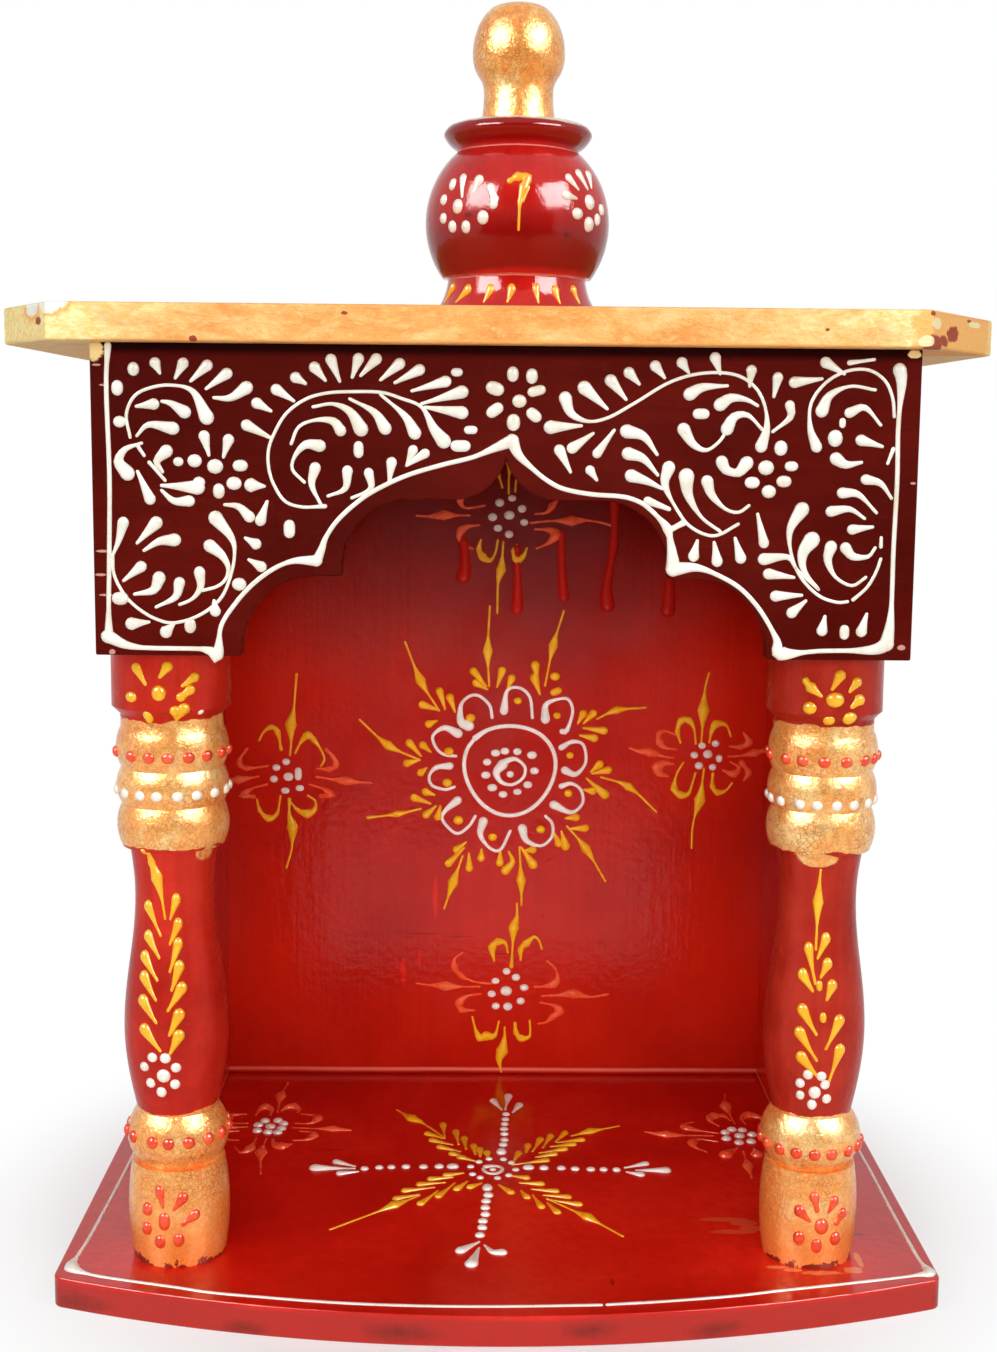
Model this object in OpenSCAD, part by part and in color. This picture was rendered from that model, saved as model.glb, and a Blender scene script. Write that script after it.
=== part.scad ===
// Hand-painted wooden pooja mandir: a small table-top shrine.
// A bow-fronted base carries three walls and two turned columns, which hold a cusped
// arch panel, an overhanging roof board and a turned pot finial with a ball knob.
// Millimetres, +Z up, -Y is the open front. Origin: centre of the underside.

/* [Room] */
// Clear width between the side walls
room_w = 220; // [180:1:280]
// Depth from the columns' axes to the back panel
room_d = 161; // [120:1:220]
// Height from the base board's top to the roof board's underside
room_h = 291; // [270:1:340]
// Thickness of each side wall
side_t = 6; // [4:0.5:12]
// Thickness of the back panel
back_t = 6; // [4:0.5:12]

/* [Base board] */
// Thickness of the base board
base_t = 10; // [8:0.5:18]
// How far each front corner stands out beyond the arch panel's end
base_margin = 19; // [5:1:40]
// How far the curved front edge bows out past its corners
base_bow = 25; // [8:1:45]
// Radius of the rounded front corners
base_corner_r = 4; // [1:0.5:6]
// Distance from the front corners back to the columns' axes
column_setback = 21; // [19:0.5:40]

/* [Arch panel] */
// Height of the arch panel
panel_h = 92; // [75:1:110]
// Thickness of the arch panel
panel_t = 8; // [5:0.5:12]
// How far the panel runs past the outside of each column
panel_lap = 0.3; // [0:0.1:5]
// Width of the lower lobes of the arch, at the panel's bottom edge
arch_low_w = 157; // [140:1:170]
// Height of the lower lobes above the panel's bottom edge
arch_low_h = 24; // [22:0.5:30]
// Corner radius of the lower lobes
arch_low_r = 22; // [8:0.5:22]
// Width of the upper lobes
arch_top_w = 97; // [80:1:110]
// Height of the upper lobes above the panel's bottom edge
arch_top_h = 47; // [44:0.5:52]
// Corner radius of the upper lobes
arch_top_r = 20; // [8:0.5:20]
// Half width of the pointed tip where it leaves the upper lobes
arch_tip_w = 15.5; // [8:0.5:15.5]
// Radius of the two curves that meet in the tip
arch_tip_r = 16; // [15.5:0.5:30]

/* [Roof board] */
// Thickness of the roof board
roof_t = 11; // [9:0.5:18]
// How far the roof runs past each end of the arch panel
roof_overhang = 30.5; // [22:0.5:45]
// How far the roof runs past the face of the arch panel
roof_nose = 8.5; // [3:0.5:25]
// Width of the corner sawn off at the left
left_cut_w = 20; // [5:0.5:30]
// Depth of the corner sawn off at the left
left_cut_d = 32; // [5:0.5:60]
// Width of the corner sawn off at the right
right_cut_w = 30; // [5:0.5:40]
// Depth of the corner sawn off at the right
right_cut_d = 46; // [5:0.5:60]

/* [Columns] */
// Distance that each column's axis stands in from the room's side
column_inset = 7; // [0:0.5:15]
// Radius of the plain block at the column's top
block_r = 18.7; // [16:0.1:19]
// Radius of the three capital rings
ring_r = 18.5; // [16:0.1:19]
// Radius of the grooves between the rings
groove_r = 16.6; // [14:0.1:16.8]
// Heights of the capital rings, from the lowest up
low_ring_h = 13.5; // [8:0.5:18]
mid_ring_h = 11.5; // [8:0.5:18]
top_ring_h = 13; // [8:0.5:18]
// Height of the neck between the top ring and the block
neck_h = 4; // [2:0.5:8]
// Height of the vase-shaped shaft
shaft_h = 86.5; // [70:0.5:95]
// Radius of the shaft where it meets the collar
shaft_foot_r = 13.3; // [11:0.1:14]
// Radius and height of the shaft's belly
belly_r = 17; // [15:0.1:18.5]
belly_h = 26.5; // [20:0.5:35]
// Radius and height of the shaft's waist
waist_r = 12.2; // [10:0.1:14]
waist_h = 71; // [60:0.5:76]
// Radius of the shaft under the capital
shaft_top_r = 14.2; // [12:0.1:16]
// Height and radius of the collar above the foot
collar_h = 17.5; // [10:0.5:24]
collar_r = 17.3; // [15.5:0.1:18.5]
// Height, radius and end radius of the barrel-shaped foot
foot_h = 32; // [20:0.5:40]
foot_r = 17; // [15.5:0.1:18.5]
foot_end_r = 15; // [13:0.1:15.4]

/* [Finial] */
// Sideways offset of the finial from the middle of the roof
finial_x = 4.5; // [-10:0.5:10]
// Radius of the round pot
pot_r = 31.2; // [26:0.1:36]
// Height of the pot's widest line above the roof
pot_mid_h = 34; // [32:0.5:38]
// Radius and height of the flared foot
pot_foot_r = 31; // [26:0.1:36]
pot_foot_h = 15; // [12:0.5:18]
// Radius of the waist between the foot and the pot
pot_waist_r = 23; // [20:0.1:25]
// Height and radius of the pot's neck
pot_neck_h = 58; // [54:0.5:60]
pot_neck_r = 20.5; // [17:0.1:22]
// Radius and height of the rim above the neck
rim_r = 25; // [22:0.1:28]
rim_h = 8.5; // [6:0.5:12]
// Radius of the ball knob
ball_r = 15.5; // [13:0.1:18]
// Height of the ball's centre above the rim
ball_h = 24.3; // [20:0.1:28]
// Radius of the knob's neck
knob_neck_r = 11.5; // [10:0.1:12.5]

/* [Raised paint] */
// Height of the cream border lines above the boards
line_h = 0.8; // [0.4:0.1:1.5]
// Width of the border lines
line_w = 1.4; // [0.8:0.1:2.5]
// Distance from the base board's edges to its border line
base_line_in = 6.5; // [4:0.5:10]
// Distance from the arch panel's ends to its border line
panel_line_in = 5.5; // [3:0.5:10]
// Distance from the arch and the panel's bottom edge to the border line
arch_line_in = 4; // [2:0.5:8]
// Radius of the orange-red beads
red_bead_r = 2.2; // [1.5:0.1:2.8]
// Radius of the white beads
white_bead_r = 1.7; // [1.2:0.1:2.4]
// How far each row of beads runs round its ring, in degrees about the front
bead_sweep = 280; // [180:10:290]
// Number of beads on the top ring, the middle ring and the collar
top_bead_count = 15; // [9:1:17]
mid_bead_count = 18; // [11:1:21]
collar_bead_count = 15; // [9:1:17]
// How far the beads sit below the middle of their ring
bead_drop = 0.8; // [0:0.1:2]
// How far each bead's centre stands out of its ring, as a share of its radius
bead_out = 0.3; // [0:0.05:0.6]

/* [Joinery] */
// Radius of the round spigots on the columns, the pot and the knob
spigot_r = 6; // [4:0.5:8]
// Length of each spigot
spigot_l = 6; // [4:0.5:7]
// Glue gap round and below a spigot
glue_gap = 0.2; // [0.1:0.05:0.5]
// Gap between the side walls and the columns in front of them
wall_gap = 0.3; // [0.2:0.1:2]

/* [Hidden] */
eps = 0.01;
$fn = 96;

column_x = room_w / 2 - column_inset;
panel_w = 2 * (column_x + block_r + panel_lap);
base_w = panel_w + 2 * base_margin;
roof_w = panel_w + 2 * roof_overhang;
base_d = column_setback + room_d + back_t;

corner_y = base_bow - (base_bow + base_d) / 2;
rear_y = corner_y + base_d;
column_y = corner_y + column_setback;
back_y = rear_y - back_t;
panel_y = column_y - block_r - panel_t;
roof_y = panel_y - roof_nose;
roof_z = base_t + room_h;
panel_z = roof_z - panel_h;
finial_y = (roof_y + rear_y) / 2;
finial_z = roof_z + roof_t;
rim_z = pot_neck_h + rim_h;

collar_z = foot_h;
shaft_z = collar_z + collar_h;
low_z = shaft_z + shaft_h;
mid_z = low_z + low_ring_h;
top_z = mid_z + mid_ring_h;
neck_z = top_z + top_ring_h;
block_z = neck_z + neck_h;

red = [0.72, 0.08, 0.06];
maroon = [0.33, 0.09, 0.08];
gold = [0.93, 0.66, 0.32];
cream = [0.98, 0.94, 0.84];
orange = [0.93, 0.25, 0.14];

// Points of an arc after its first, from angle a to angle b
function arc(centre, r, a, b, n) =
  [for (i = [1 : n]) let (t = a + (b - a) * i / n) centre + r * [cos(t), sin(t)]];

// Points along a curve from a to b that swells outwards by sag at its middle
function swell(a, b, sag, n = 10) =
  let (d = b - a, out = [d.y, -d.x] / norm(d))
  [for (i = [0 : n]) let (t = i / n) a + d * t + out * sag * 4 * t * (1 - t)];

// Points from a to b that leave and arrive upright
function ease(a, b, n = 14) =
  [for (i = [1 : n]) let (t = i / n)
    [a.x + (b.x - a.x) * (1 - cos(180 * t)) / 2, a.y + (b.y - a.y) * t]];

// A turned ring between heights z and z + h
function ring(z, h, inner, outer) = swell([inner, z], [inner, z + h], outer - inner);

// Blind hole for a spigot, opening upwards at the origin
module spigot_hole() {
  depth = spigot_l + glue_gap;
  translate([0, 0, -depth]) cylinder(r = spigot_r + glue_gap, h = depth + eps);
}

module on_both_columns() {
  for (side = [-1, 1]) translate([side * column_x, column_y, 0]) children();
}

// Plan of the base board, drawn in by inset: straight sides, an arc across the front
// and a small arc round each front corner
module base_plan(inset = 0) {
  bow_r = (pow(base_w / 2, 2) + pow(base_bow, 2)) / (2 * base_bow);
  bow_y = corner_y - base_bow + bow_r;
  front_r = bow_r - inset;
  half_w = base_w / 2 - inset;
  turn_r = max(base_corner_r - inset, 0);
  turn_x = half_w - turn_r;
  turn_y = bow_y - sqrt(pow(front_r - turn_r, 2) - pow(turn_x, 2));
  lean = asin(turn_x / (front_r - turn_r));
  turn = turn_r == 0 ? [] : arc([turn_x, turn_y], turn_r, lean - 90, 0, 6);
  half = concat(arc([0, bow_y], front_r, -90, lean - 90, 24), turn, [[half_w, rear_y]]);
  polygon(concat([[0, bow_y - front_r]], half, [for (i = [len(half) - 1 : -1 : 0])
    [-half[i].x, half[i].y]]));
}

module base_board() {
  color(red) difference() {
    linear_extrude(base_t) base_plan();
    translate([0, 0, base_t]) on_both_columns() spigot_hole();
  }
}

module back_panel() {
  w = room_w + 2 * side_t;
  color(red) translate([-w / 2, back_y, base_t]) cube([w, back_t, room_h]);
}

// Side wall that starts behind the column and runs to the back panel
module side_wall() {
  front_y = column_y + block_r + wall_gap;
  translate([room_w / 2, front_y, base_t]) cube([side_t, back_y - front_y, room_h]);
}

module left_side_wall() {
  color(red) mirror([1, 0, 0]) side_wall();
}

module right_side_wall() {
  color(red) side_wall();
}

// Half outline of a column, from the axis at its foot to the axis at its top
function column_outline() =
  let (
    belly = [belly_r, shaft_z + belly_h],
    waist = [waist_r, shaft_z + waist_h]
  )
  concat(
    [[0, 0]],
    swell([foot_end_r, 0], [foot_end_r, foot_h], foot_r - foot_end_r),
    ring(collar_z, collar_h, shaft_foot_r, collar_r),
    [for (i = [1 : 10]) let (t = i / 10)
      [shaft_foot_r + (belly_r - shaft_foot_r) * sin(90 * t), shaft_z + belly_h * t]],
    ease(belly, waist),
    [for (i = [1 : 6]) let (t = i / 6)
      [waist_r + (shaft_top_r - waist_r) * (1 - cos(90 * t)), waist.y + (shaft_h - waist_h) * t]],
    ring(low_z, low_ring_h, groove_r, ring_r),
    ring(mid_z, mid_ring_h, groove_r, ring_r),
    ring(top_z, top_ring_h, groove_r, ring_r),
    [[groove_r, block_z], [block_r, block_z + block_r - groove_r], [block_r, room_h], [0, room_h]]
  );

module column() {
  translate([0, 0, base_t]) {
    rotate_extrude() polygon(column_outline());
    translate([0, 0, -spigot_l]) cylinder(r = spigot_r, h = room_h + 2 * spigot_l);
  }
}

module left_column() {
  color(red) translate([-column_x, column_y, 0]) column();
}

module right_column() {
  color(red) translate([column_x, column_y, 0]) column();
}

// A lobe pair of the arch: a flat-topped opening with round upper corners
module lobes(w, h, r) {
  for (side = [-1, 1]) translate([side * (w / 2 - r), h - r]) circle(r = r);
  translate([-w / 2, -panel_h]) square([w, panel_h + h - r]);
  translate([-(w / 2 - r), -panel_h]) square([w - 2 * r, panel_h + h]);
}

// The pointed tip over the upper lobes, between two arcs
module arch_tip(grow) {
  centre_z = arch_top_h + arch_tip_r;
  drop = sqrt(pow(arch_tip_r, 2) - pow(arch_tip_w, 2));
  tip_z = centre_z - drop;
  difference() {
    translate([-arch_tip_w, arch_top_h - eps])
      square([2 * arch_tip_w, tip_z - arch_top_h + grow * drop / arch_tip_r + eps]);
    for (side = [-1, 1]) translate([side * arch_tip_w, centre_z]) circle(r = arch_tip_r - grow);
  }
  if (grow > 0) translate([0, tip_z]) circle(r = grow);
}

// The arch's opening, grown outwards on every side
module arch_opening(grow = 0) {
  lobes(arch_low_w + 2 * grow, arch_low_h + grow, arch_low_r + grow);
  lobes(arch_top_w + 2 * grow, arch_top_h + grow, arch_top_r + grow);
  arch_tip(grow);
}

// Face of the arch panel, drawn in by side_in at its ends and edge_in round the arch
module arch_face(side_in = 0, edge_in = 0) {
  difference() {
    translate([-panel_w / 2 + side_in, edge_in])
      square([panel_w - 2 * side_in, panel_h - edge_in]);
    arch_opening(edge_in);
  }
}

// Stands a flat outline up on the plane at y, t thick towards the back
module upright(y, t) {
  translate([0, y + t, panel_z]) rotate([90, 0, 0]) linear_extrude(t) children();
}

module arch_panel() {
  color(maroon) upright(panel_y, panel_t) arch_face();
}

// Cream line down both ends, along the bottom edges and over the arch
module arch_border() {
  color(cream) upright(panel_y - line_h, line_h) difference() {
    arch_face(panel_line_in, arch_line_in);
    arch_face(panel_line_in + line_w, arch_line_in + line_w);
  }
}

// Cream line along the sides and the bowed front, ending beside the back panel
module base_border() {
  color(cream) translate([0, 0, base_t]) linear_extrude(line_h) difference() {
    base_plan(base_line_in);
    base_plan(base_line_in + line_w);
    translate([-base_w / 2, back_y]) square([base_w, base_d]);
  }
}

// Plan of the roof board, with one corner sawn off at each end of its front
module roof_plan() {
  polygon([
    [-roof_w / 2 + left_cut_w, roof_y],
    [roof_w / 2 - right_cut_w, roof_y],
    [roof_w / 2, roof_y + right_cut_d],
    [roof_w / 2, rear_y],
    [-roof_w / 2, rear_y],
    [-roof_w / 2, roof_y + left_cut_d]
  ]);
}

module roof_board() {
  color(gold) difference() {
    translate([0, 0, roof_z]) linear_extrude(roof_t) roof_plan();
    translate([0, 0, roof_z]) on_both_columns() mirror([0, 0, 1]) spigot_hole();
    translate([finial_x, finial_y, finial_z]) spigot_hole();
  }
}

// Raised beads round the front of a column's ring that starts at z and is h high
module bead_row(side, z, h, r, count, bead_r) {
  translate([side * column_x, column_y, base_t]) difference() {
    for (i = [0 : count - 1]) rotate(bead_sweep * (i / (count - 1) - 0.5) - 90)
      translate([r + bead_out * bead_r, 0, z + h / 2 - bead_drop]) sphere(r = bead_r, $fn = 32);
    rotate_extrude() polygon(column_outline());
  }
}

module top_ring_beads(side) {
  color(orange) bead_row(side, top_z, top_ring_h, ring_r, top_bead_count, red_bead_r);
}

module mid_ring_beads(side) {
  color(cream) bead_row(side, mid_z, mid_ring_h, ring_r, mid_bead_count, white_bead_r);
}

module collar_beads(side) {
  color(orange) bead_row(side, collar_z, collar_h, collar_r, collar_bead_count, red_bead_r);
}

// Points of the round pot between two heights above the roof
function pot_arc(z0, z1, n = 16) =
  [for (i = [0 : n]) let (z = z0 + (z1 - z0) * i / n)
    [sqrt(pow(pot_r, 2) - pow(z - pot_mid_h, 2)), z]];

module finial_pot() {
  color(red) translate([finial_x, finial_y, finial_z]) difference() {
    union() {
      rotate_extrude() polygon(concat(
        [[0, 0]],
        swell([pot_foot_r, 0], [pot_waist_r, pot_foot_h], -1, 6),
        pot_arc(pot_foot_h + 1, pot_neck_h - 1),
        swell([pot_neck_r, pot_neck_h], [rim_r, rim_z - 3], -0.8, 6),
        swell([rim_r, rim_z - 2.5], [rim_r - 1, rim_z], 0.4, 4),
        [[0, rim_z]]
      ));
      translate([0, 0, -spigot_l]) cylinder(r = spigot_r, h = spigot_l + eps);
    }
    translate([0, 0, rim_z]) spigot_hole();
  }
}

module finial_knob() {
  color(gold) translate([finial_x, finial_y, finial_z + rim_z]) {
    translate([0, 0, ball_h]) sphere(r = ball_r);
    cylinder(r = knob_neck_r, h = ball_h);
    translate([0, 0, -spigot_l]) cylinder(r = spigot_r, h = spigot_l + eps);
  }
}

base_board();
back_panel();
left_side_wall();
right_side_wall();
left_column();
right_column();
arch_panel();
roof_board();
finial_pot();
finial_knob();
base_border();
arch_border();
top_ring_beads(-1);  // left_top_ring_beads
mid_ring_beads(-1);  // left_mid_ring_beads
collar_beads(-1);  // left_collar_beads
top_ring_beads(1);  // right_top_ring_beads
mid_ring_beads(1);  // right_mid_ring_beads
collar_beads(1);  // right_collar_beads
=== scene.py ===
import math

import bpy
from mathutils import Matrix, Vector


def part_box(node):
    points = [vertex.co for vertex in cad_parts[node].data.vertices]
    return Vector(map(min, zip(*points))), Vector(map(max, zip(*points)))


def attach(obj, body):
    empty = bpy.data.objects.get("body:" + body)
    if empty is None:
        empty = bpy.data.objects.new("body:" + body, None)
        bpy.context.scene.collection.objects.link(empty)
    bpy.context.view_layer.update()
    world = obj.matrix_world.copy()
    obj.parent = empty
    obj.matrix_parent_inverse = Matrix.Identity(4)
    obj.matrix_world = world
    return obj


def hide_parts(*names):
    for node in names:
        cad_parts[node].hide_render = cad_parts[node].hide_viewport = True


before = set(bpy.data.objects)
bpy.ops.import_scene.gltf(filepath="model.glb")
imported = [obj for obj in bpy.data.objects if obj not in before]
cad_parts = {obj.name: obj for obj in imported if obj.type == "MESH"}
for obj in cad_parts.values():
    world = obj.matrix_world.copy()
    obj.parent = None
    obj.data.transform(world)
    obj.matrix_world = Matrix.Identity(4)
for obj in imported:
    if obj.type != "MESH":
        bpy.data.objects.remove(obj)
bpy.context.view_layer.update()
mm = 0.001
print("frame loaded:", len(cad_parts), "nodes")


# helpers for modelling

def clearSelection():
    if bpy.context.object and bpy.context.object.mode != 'OBJECT':
        bpy.ops.object.mode_set(mode='OBJECT')
    bpy.ops.object.select_all(action='DESELECT')


def makeActive(piece):
    clearSelection()
    piece.select_set(True)
    bpy.context.view_layer.objects.active = piece


def applyPlace(piece):
    makeActive(piece)
    bpy.ops.object.transform_apply(location=True, rotation=True, scale=True)


def applyModifiers(piece):
    makeActive(piece)
    for modifier in list(piece.modifiers):
        bpy.ops.object.modifier_apply(modifier=modifier.name)


def smoothByAngle(piece, degrees):
    makeActive(piece)
    bpy.ops.object.shade_smooth_by_angle(angle=math.radians(degrees))


def editWhole(piece):
    makeActive(piece)
    bpy.ops.object.mode_set(mode='EDIT')
    bpy.ops.mesh.select_all(action='SELECT')


def turnFacesOut():
    bpy.ops.mesh.normals_make_consistent(inside=False)
    bpy.ops.object.mode_set(mode='OBJECT')


def finishPiece(piece, material, slotName, *nodes):
    piece.data.materials.clear()
    piece.data.materials.append(material)
    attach(piece, "root")
    if nodes:
        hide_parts(*nodes)


boardEdges = {"weld": 0.02, "flat": 0.1, "corner": 35, "steps": 3, "smooth": 30}  # mm and degrees


# a CAD board copied, its loose triangles joined into whole faces, and its arrises eased
def easedBoard(node, name, ease):
    board = bpy.data.objects.new(name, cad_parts[node].data.copy())
    bpy.context.scene.collection.objects.link(board)
    editWhole(board)
    bpy.ops.mesh.remove_doubles(threshold=boardEdges["weld"] * mm)
    bpy.ops.mesh.customdata_custom_splitnormals_clear()
    bpy.ops.mesh.dissolve_limited(angle_limit=math.radians(boardEdges["flat"]))
    turnFacesOut()
    bevel = board.modifiers.new("easedArris", 'BEVEL')
    bevel.width = ease * mm
    bevel.segments = boardEdges["steps"]
    bevel.limit_method = 'ANGLE'
    bevel.angle_limit = math.radians(boardEdges["corner"])
    applyModifiers(board)
    smoothByAngle(board, boardEdges["smooth"])
    wide = board.modifiers.new("wideFaces", 'WEIGHTED_NORMAL')  # wide faces keep their own normals
    wide.keep_sharp = True
    applyModifiers(board)
    return board


# a turned piece: one ring extruded and scaled up the outline of (radius, height) points
def turned(name, outline, centre, smooth, sides=96):
    below = outline[0]
    clearSelection()
    bpy.ops.mesh.primitive_circle_add(vertices=sides, radius=below[0], fill_type='NGON',
                                      location=(centre.x, centre.y, centre.z + below[1]))
    piece = bpy.context.object
    piece.name = name
    applyPlace(piece)
    editWhole(piece)
    for point in outline[1:]:
        bpy.ops.mesh.extrude_region_move(
            TRANSFORM_OT_translate={"value": (0, 0, point[1] - below[1])})
        scale = point[0] / below[0]
        bpy.ops.transform.resize(value=(scale, scale, 1), center_override=(centre.x, centre.y, 0))
        below = point
    bpy.ops.mesh.select_all(action='SELECT')
    turnFacesOut()
    smoothByAngle(piece, smooth)
    return piece


# points of a curve that swells outwards between two (radius, height) points
def swell(start, end, sag, count=8):
    a, b = Vector(start), Vector(end)
    out = Vector((b.y - a.y, a.x - b.x)).normalized()
    return [tuple(a.lerp(b, t) + out * sag * 4 * t * (1 - t))
            for t in [i / count for i in range(count + 1)]]


# points on from start to end, the radius changing by ease(t) and the height evenly
def easeTo(start, end, ease, count):
    return [(start[0] + (end[0] - start[0]) * ease(t), start[1] + (end[1] - start[1]) * t)
            for t in [i / count for i in range(1, count + 1)]]


# raised paint: a stroke is a list of points (u, v) or (u, v, width) in mm on its surface;
# where a width is given the paint swells to it, elsewhere it keeps the stroke's line width;
# a dab is a tuple (u, v, width), (u, v, width, height) or with its slant in degrees as well
paintProfile = [(-1, -0.25), (-0.95, 0.16), (-0.68, 0.48), (-0.25, 0.64),
                (0.25, 0.64), (0.68, 0.48), (0.95, 0.16), (1, -0.25)]
paintShape = {"step": 1.4, "taper": 2.7, "middleTaper": 1.5, "fall": 1.25, "shortest": 0.12,
              "cap": (32, 60, 82), "weld": 0.004, "smooth": 60}  # mm and degrees


def curveObject(name):
    curve = bpy.data.curves.new(name, 'CURVE')
    curve.dimensions = '2D'
    piece = bpy.data.objects.new(name, curve)
    bpy.context.scene.collection.objects.link(piece)
    return piece


def addSpline(curve, spots, closed=False):
    spline = curve.splines.new('POLY')
    spline.points.add(len(spots) - 1)
    for point, (place, radius) in zip(spline.points, spots):
        point.co = (place[0], place[1], 0, 1)
        point.radius = radius
    spline.use_cyclic_u = closed


def smoothPath(points, step):
    path = []
    for i in range(len(points) - 1):
        before = points[i - 1] if i else 2 * points[0] - points[1]
        after = points[i + 2] if i + 2 < len(points) else 2 * points[-1] - points[-2]
        a, b = points[i], points[i + 1]
        count = max(2, math.ceil((b - a).length / step))
        for k in range(count):
            t = k / count
            path.append(0.5 * (2 * a + (b - before) * t
                               + (2 * before - 5 * a + 4 * b - after) * t * t
                               + (3 * a - before - 3 * b + after) * t ** 3))
    path.append(points[-1])
    return path


# spots along one stroke with their radii, a rounded cap at both ends
def strokeSpots(stroke, head, line, taper):
    points = [Vector((p[0], p[1])) for p in stroke]
    path = smoothPath(points, paintShape["step"])
    along = [0.0]
    for a, b in zip(path, path[1:]):
        along.append(along[-1] + (b - a).length)
    swells = []
    for i, p in enumerate(stroke):
        width = p[2] if len(p) > 2 else (head if i == 0 else None)
        if width:
            nearest = min(range(len(path)), key=lambda k: (path[k] - points[i]).length)
            isEnd = i in (0, len(stroke) - 1)
            swells.append((along[nearest], width, taper if isEnd else paintShape["middleTaper"]))
    spots = []
    for point, s in zip(path, along):
        width = line
        for place, size, spread in swells:
            room = (along[-1] - place) if s > place else place
            reach = max(min(room, spread * size), 0.01)
            near = max(0.0, 1 - abs(s - place) / reach)
            width = max(width, line + (size - line) * near ** paintShape["fall"])
        spots.append((point, width / 2))
    for end, inner in ((0, 1), (-1, -2)):
        tip, radius = spots[end]
        out = (tip - spots[inner][0]).normalized()
        cap = [(tip + out * radius * math.sin(turn), radius * math.cos(turn))
               for turn in map(math.radians, paintShape["cap"])]
        spots = cap[::-1] + spots if end == 0 else spots + cap
    return spots


def dabSpots(u, v, wide, tall=None, slant=None):
    tall = tall or wide
    lean = Vector((1, 0)) if wide >= tall else Vector((0, 1))
    if slant is not None:
        lean = Vector((math.cos(math.radians(slant)), math.sin(math.radians(slant))))
    small = min(wide, tall)
    reach = max(abs(wide - tall) / 2, paintShape["shortest"])
    ends = [Vector((u, v)) - lean * reach, Vector((u, v)) + lean * reach]
    return strokeSpots([(*end, small) for end in ends], small, small, paintShape["taper"])


# all the strokes of one paint on one surface become one mesh, laid on by surface(u, v, height)
def paintStrokes(name, strokes, surface, material, slotName, *nodes, head=3.2, line=0.9,
                 taper=paintShape["taper"]):
    profile = curveObject("paintProfile")
    addSpline(profile.data, [(place, 1) for place in paintProfile], True)
    piece = curveObject(name)
    piece.data.bevel_mode = 'OBJECT'
    piece.data.bevel_object = profile
    piece.data.use_fill_caps = True
    for stroke in strokes:
        isDab = isinstance(stroke, tuple)
        spots = dabSpots(*stroke) if isDab else strokeSpots(stroke, head, line, taper)
        addSpline(piece.data, spots)
    makeActive(piece)
    bpy.ops.object.convert(target='MESH')
    piece = bpy.context.object
    for vertex in piece.data.vertices:
        vertex.co = surface(*vertex.co) * mm
    editWhole(piece)
    bpy.ops.mesh.remove_doubles(threshold=paintShape["weld"] * mm)
    turnFacesOut()
    smoothByAngle(piece, paintShape["smooth"])
    bpy.data.objects.remove(profile)
    finishPiece(piece, material, slotName, *nodes)


# the same change made to each dab and to each point of each stroke
def eachPoint(strokes, change):
    return [change(*stroke) if isinstance(stroke, tuple) else [change(*p) for p in stroke]
            for stroke in strokes]


# a surface turned round an upright axis: across is the radius on which u is measured
def bendRound(axis, outline, across):
    slopeStep = 0.4 * mm

    def radiusAt(height):
        for (r0, h0), (r1, h1) in zip(outline, outline[1:]):
            if h0 <= height <= h1 and h1 > h0:
                return r0 + (r1 - r0) * (height - h0) / (h1 - h0)
        return outline[-1][0]

    def place(u, v, h):
        height = v * mm
        rise = radiusAt(height + slopeStep) - radiusAt(height - slopeStep)
        out = Vector((1, -rise / (2 * slopeStep))).normalized()
        reach = radiusAt(height) / mm + h * out.x
        return axis / mm + Vector((reach * math.sin(u / across), -reach * math.cos(u / across),
                                   v + h * out.y))
    return place


# helpers for materials

def newMaterial(name):
    material = bpy.data.materials.new(name)
    material.use_nodes = True
    return material, material.node_tree


# a socket takes another node's output, or a plain value
def plug(tree, socket, value):
    if isinstance(value, bpy.types.NodeSocket):
        tree.links.new(value, socket)
    elif socket.type == 'RGBA' and len(value) == 3:
        socket.default_value = (*value, 1)
    else:
        socket.default_value = value


def addNode(tree, kind, inputs=None, **settings):
    node = tree.nodes.new(kind)
    for key, value in settings.items():
        setattr(node, key, value)
    for key, value in (inputs or {}).items():
        plug(tree, node.inputs[key], value)
    return node


def objectCoords(tree, scale=(1, 1, 1)):
    coords = addNode(tree, 'ShaderNodeTexCoord').outputs["Object"]
    return addNode(tree, 'ShaderNodeMapping', {"Vector": coords, "Scale": scale}).outputs["Vector"]


def axisOf(tree, vector, axis):
    return addNode(tree, 'ShaderNodeSeparateXYZ', {0: vector}).outputs[axis]


def noise(tree, vector, scale, detail=4, rough=0.55, distort=0.0):
    return addNode(tree, 'ShaderNodeTexNoise', {
        "Vector": vector, "Scale": scale, "Detail": detail, "Roughness": rough,
        "Distortion": distort}).outputs["Fac"]


def ramp(tree, value, *stops):
    node = addNode(tree, 'ShaderNodeValToRGB', {"Fac": value})
    while len(node.color_ramp.elements) < len(stops):
        node.color_ramp.elements.new(0.5)
    for element, (place, colour) in zip(node.color_ramp.elements, stops):
        element.position = place
        element.color = (*(colour if isinstance(colour, tuple) else (colour,) * 3), 1)
    return node.outputs["Color"]


# deep, plain and pale tints spread by a noise
def tinted(tree, value, look, low=0.3, high=0.72):
    return ramp(tree, value, (low, look["deep"]), (0.5, look["colour"]), (high, look["pale"]))


def fade(tree, value, start, end, kind='SMOOTHSTEP'):
    return addNode(tree, 'ShaderNodeMapRange', {"Value": value, "From Min": start, "From Max": end},
                   interpolation_type=kind).outputs["Result"]


def mix(tree, factor, first, second):
    return addNode(tree, 'ShaderNodeMix', {0: factor, 6: first, 7: second},
                   data_type='RGBA').outputs[2]


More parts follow.
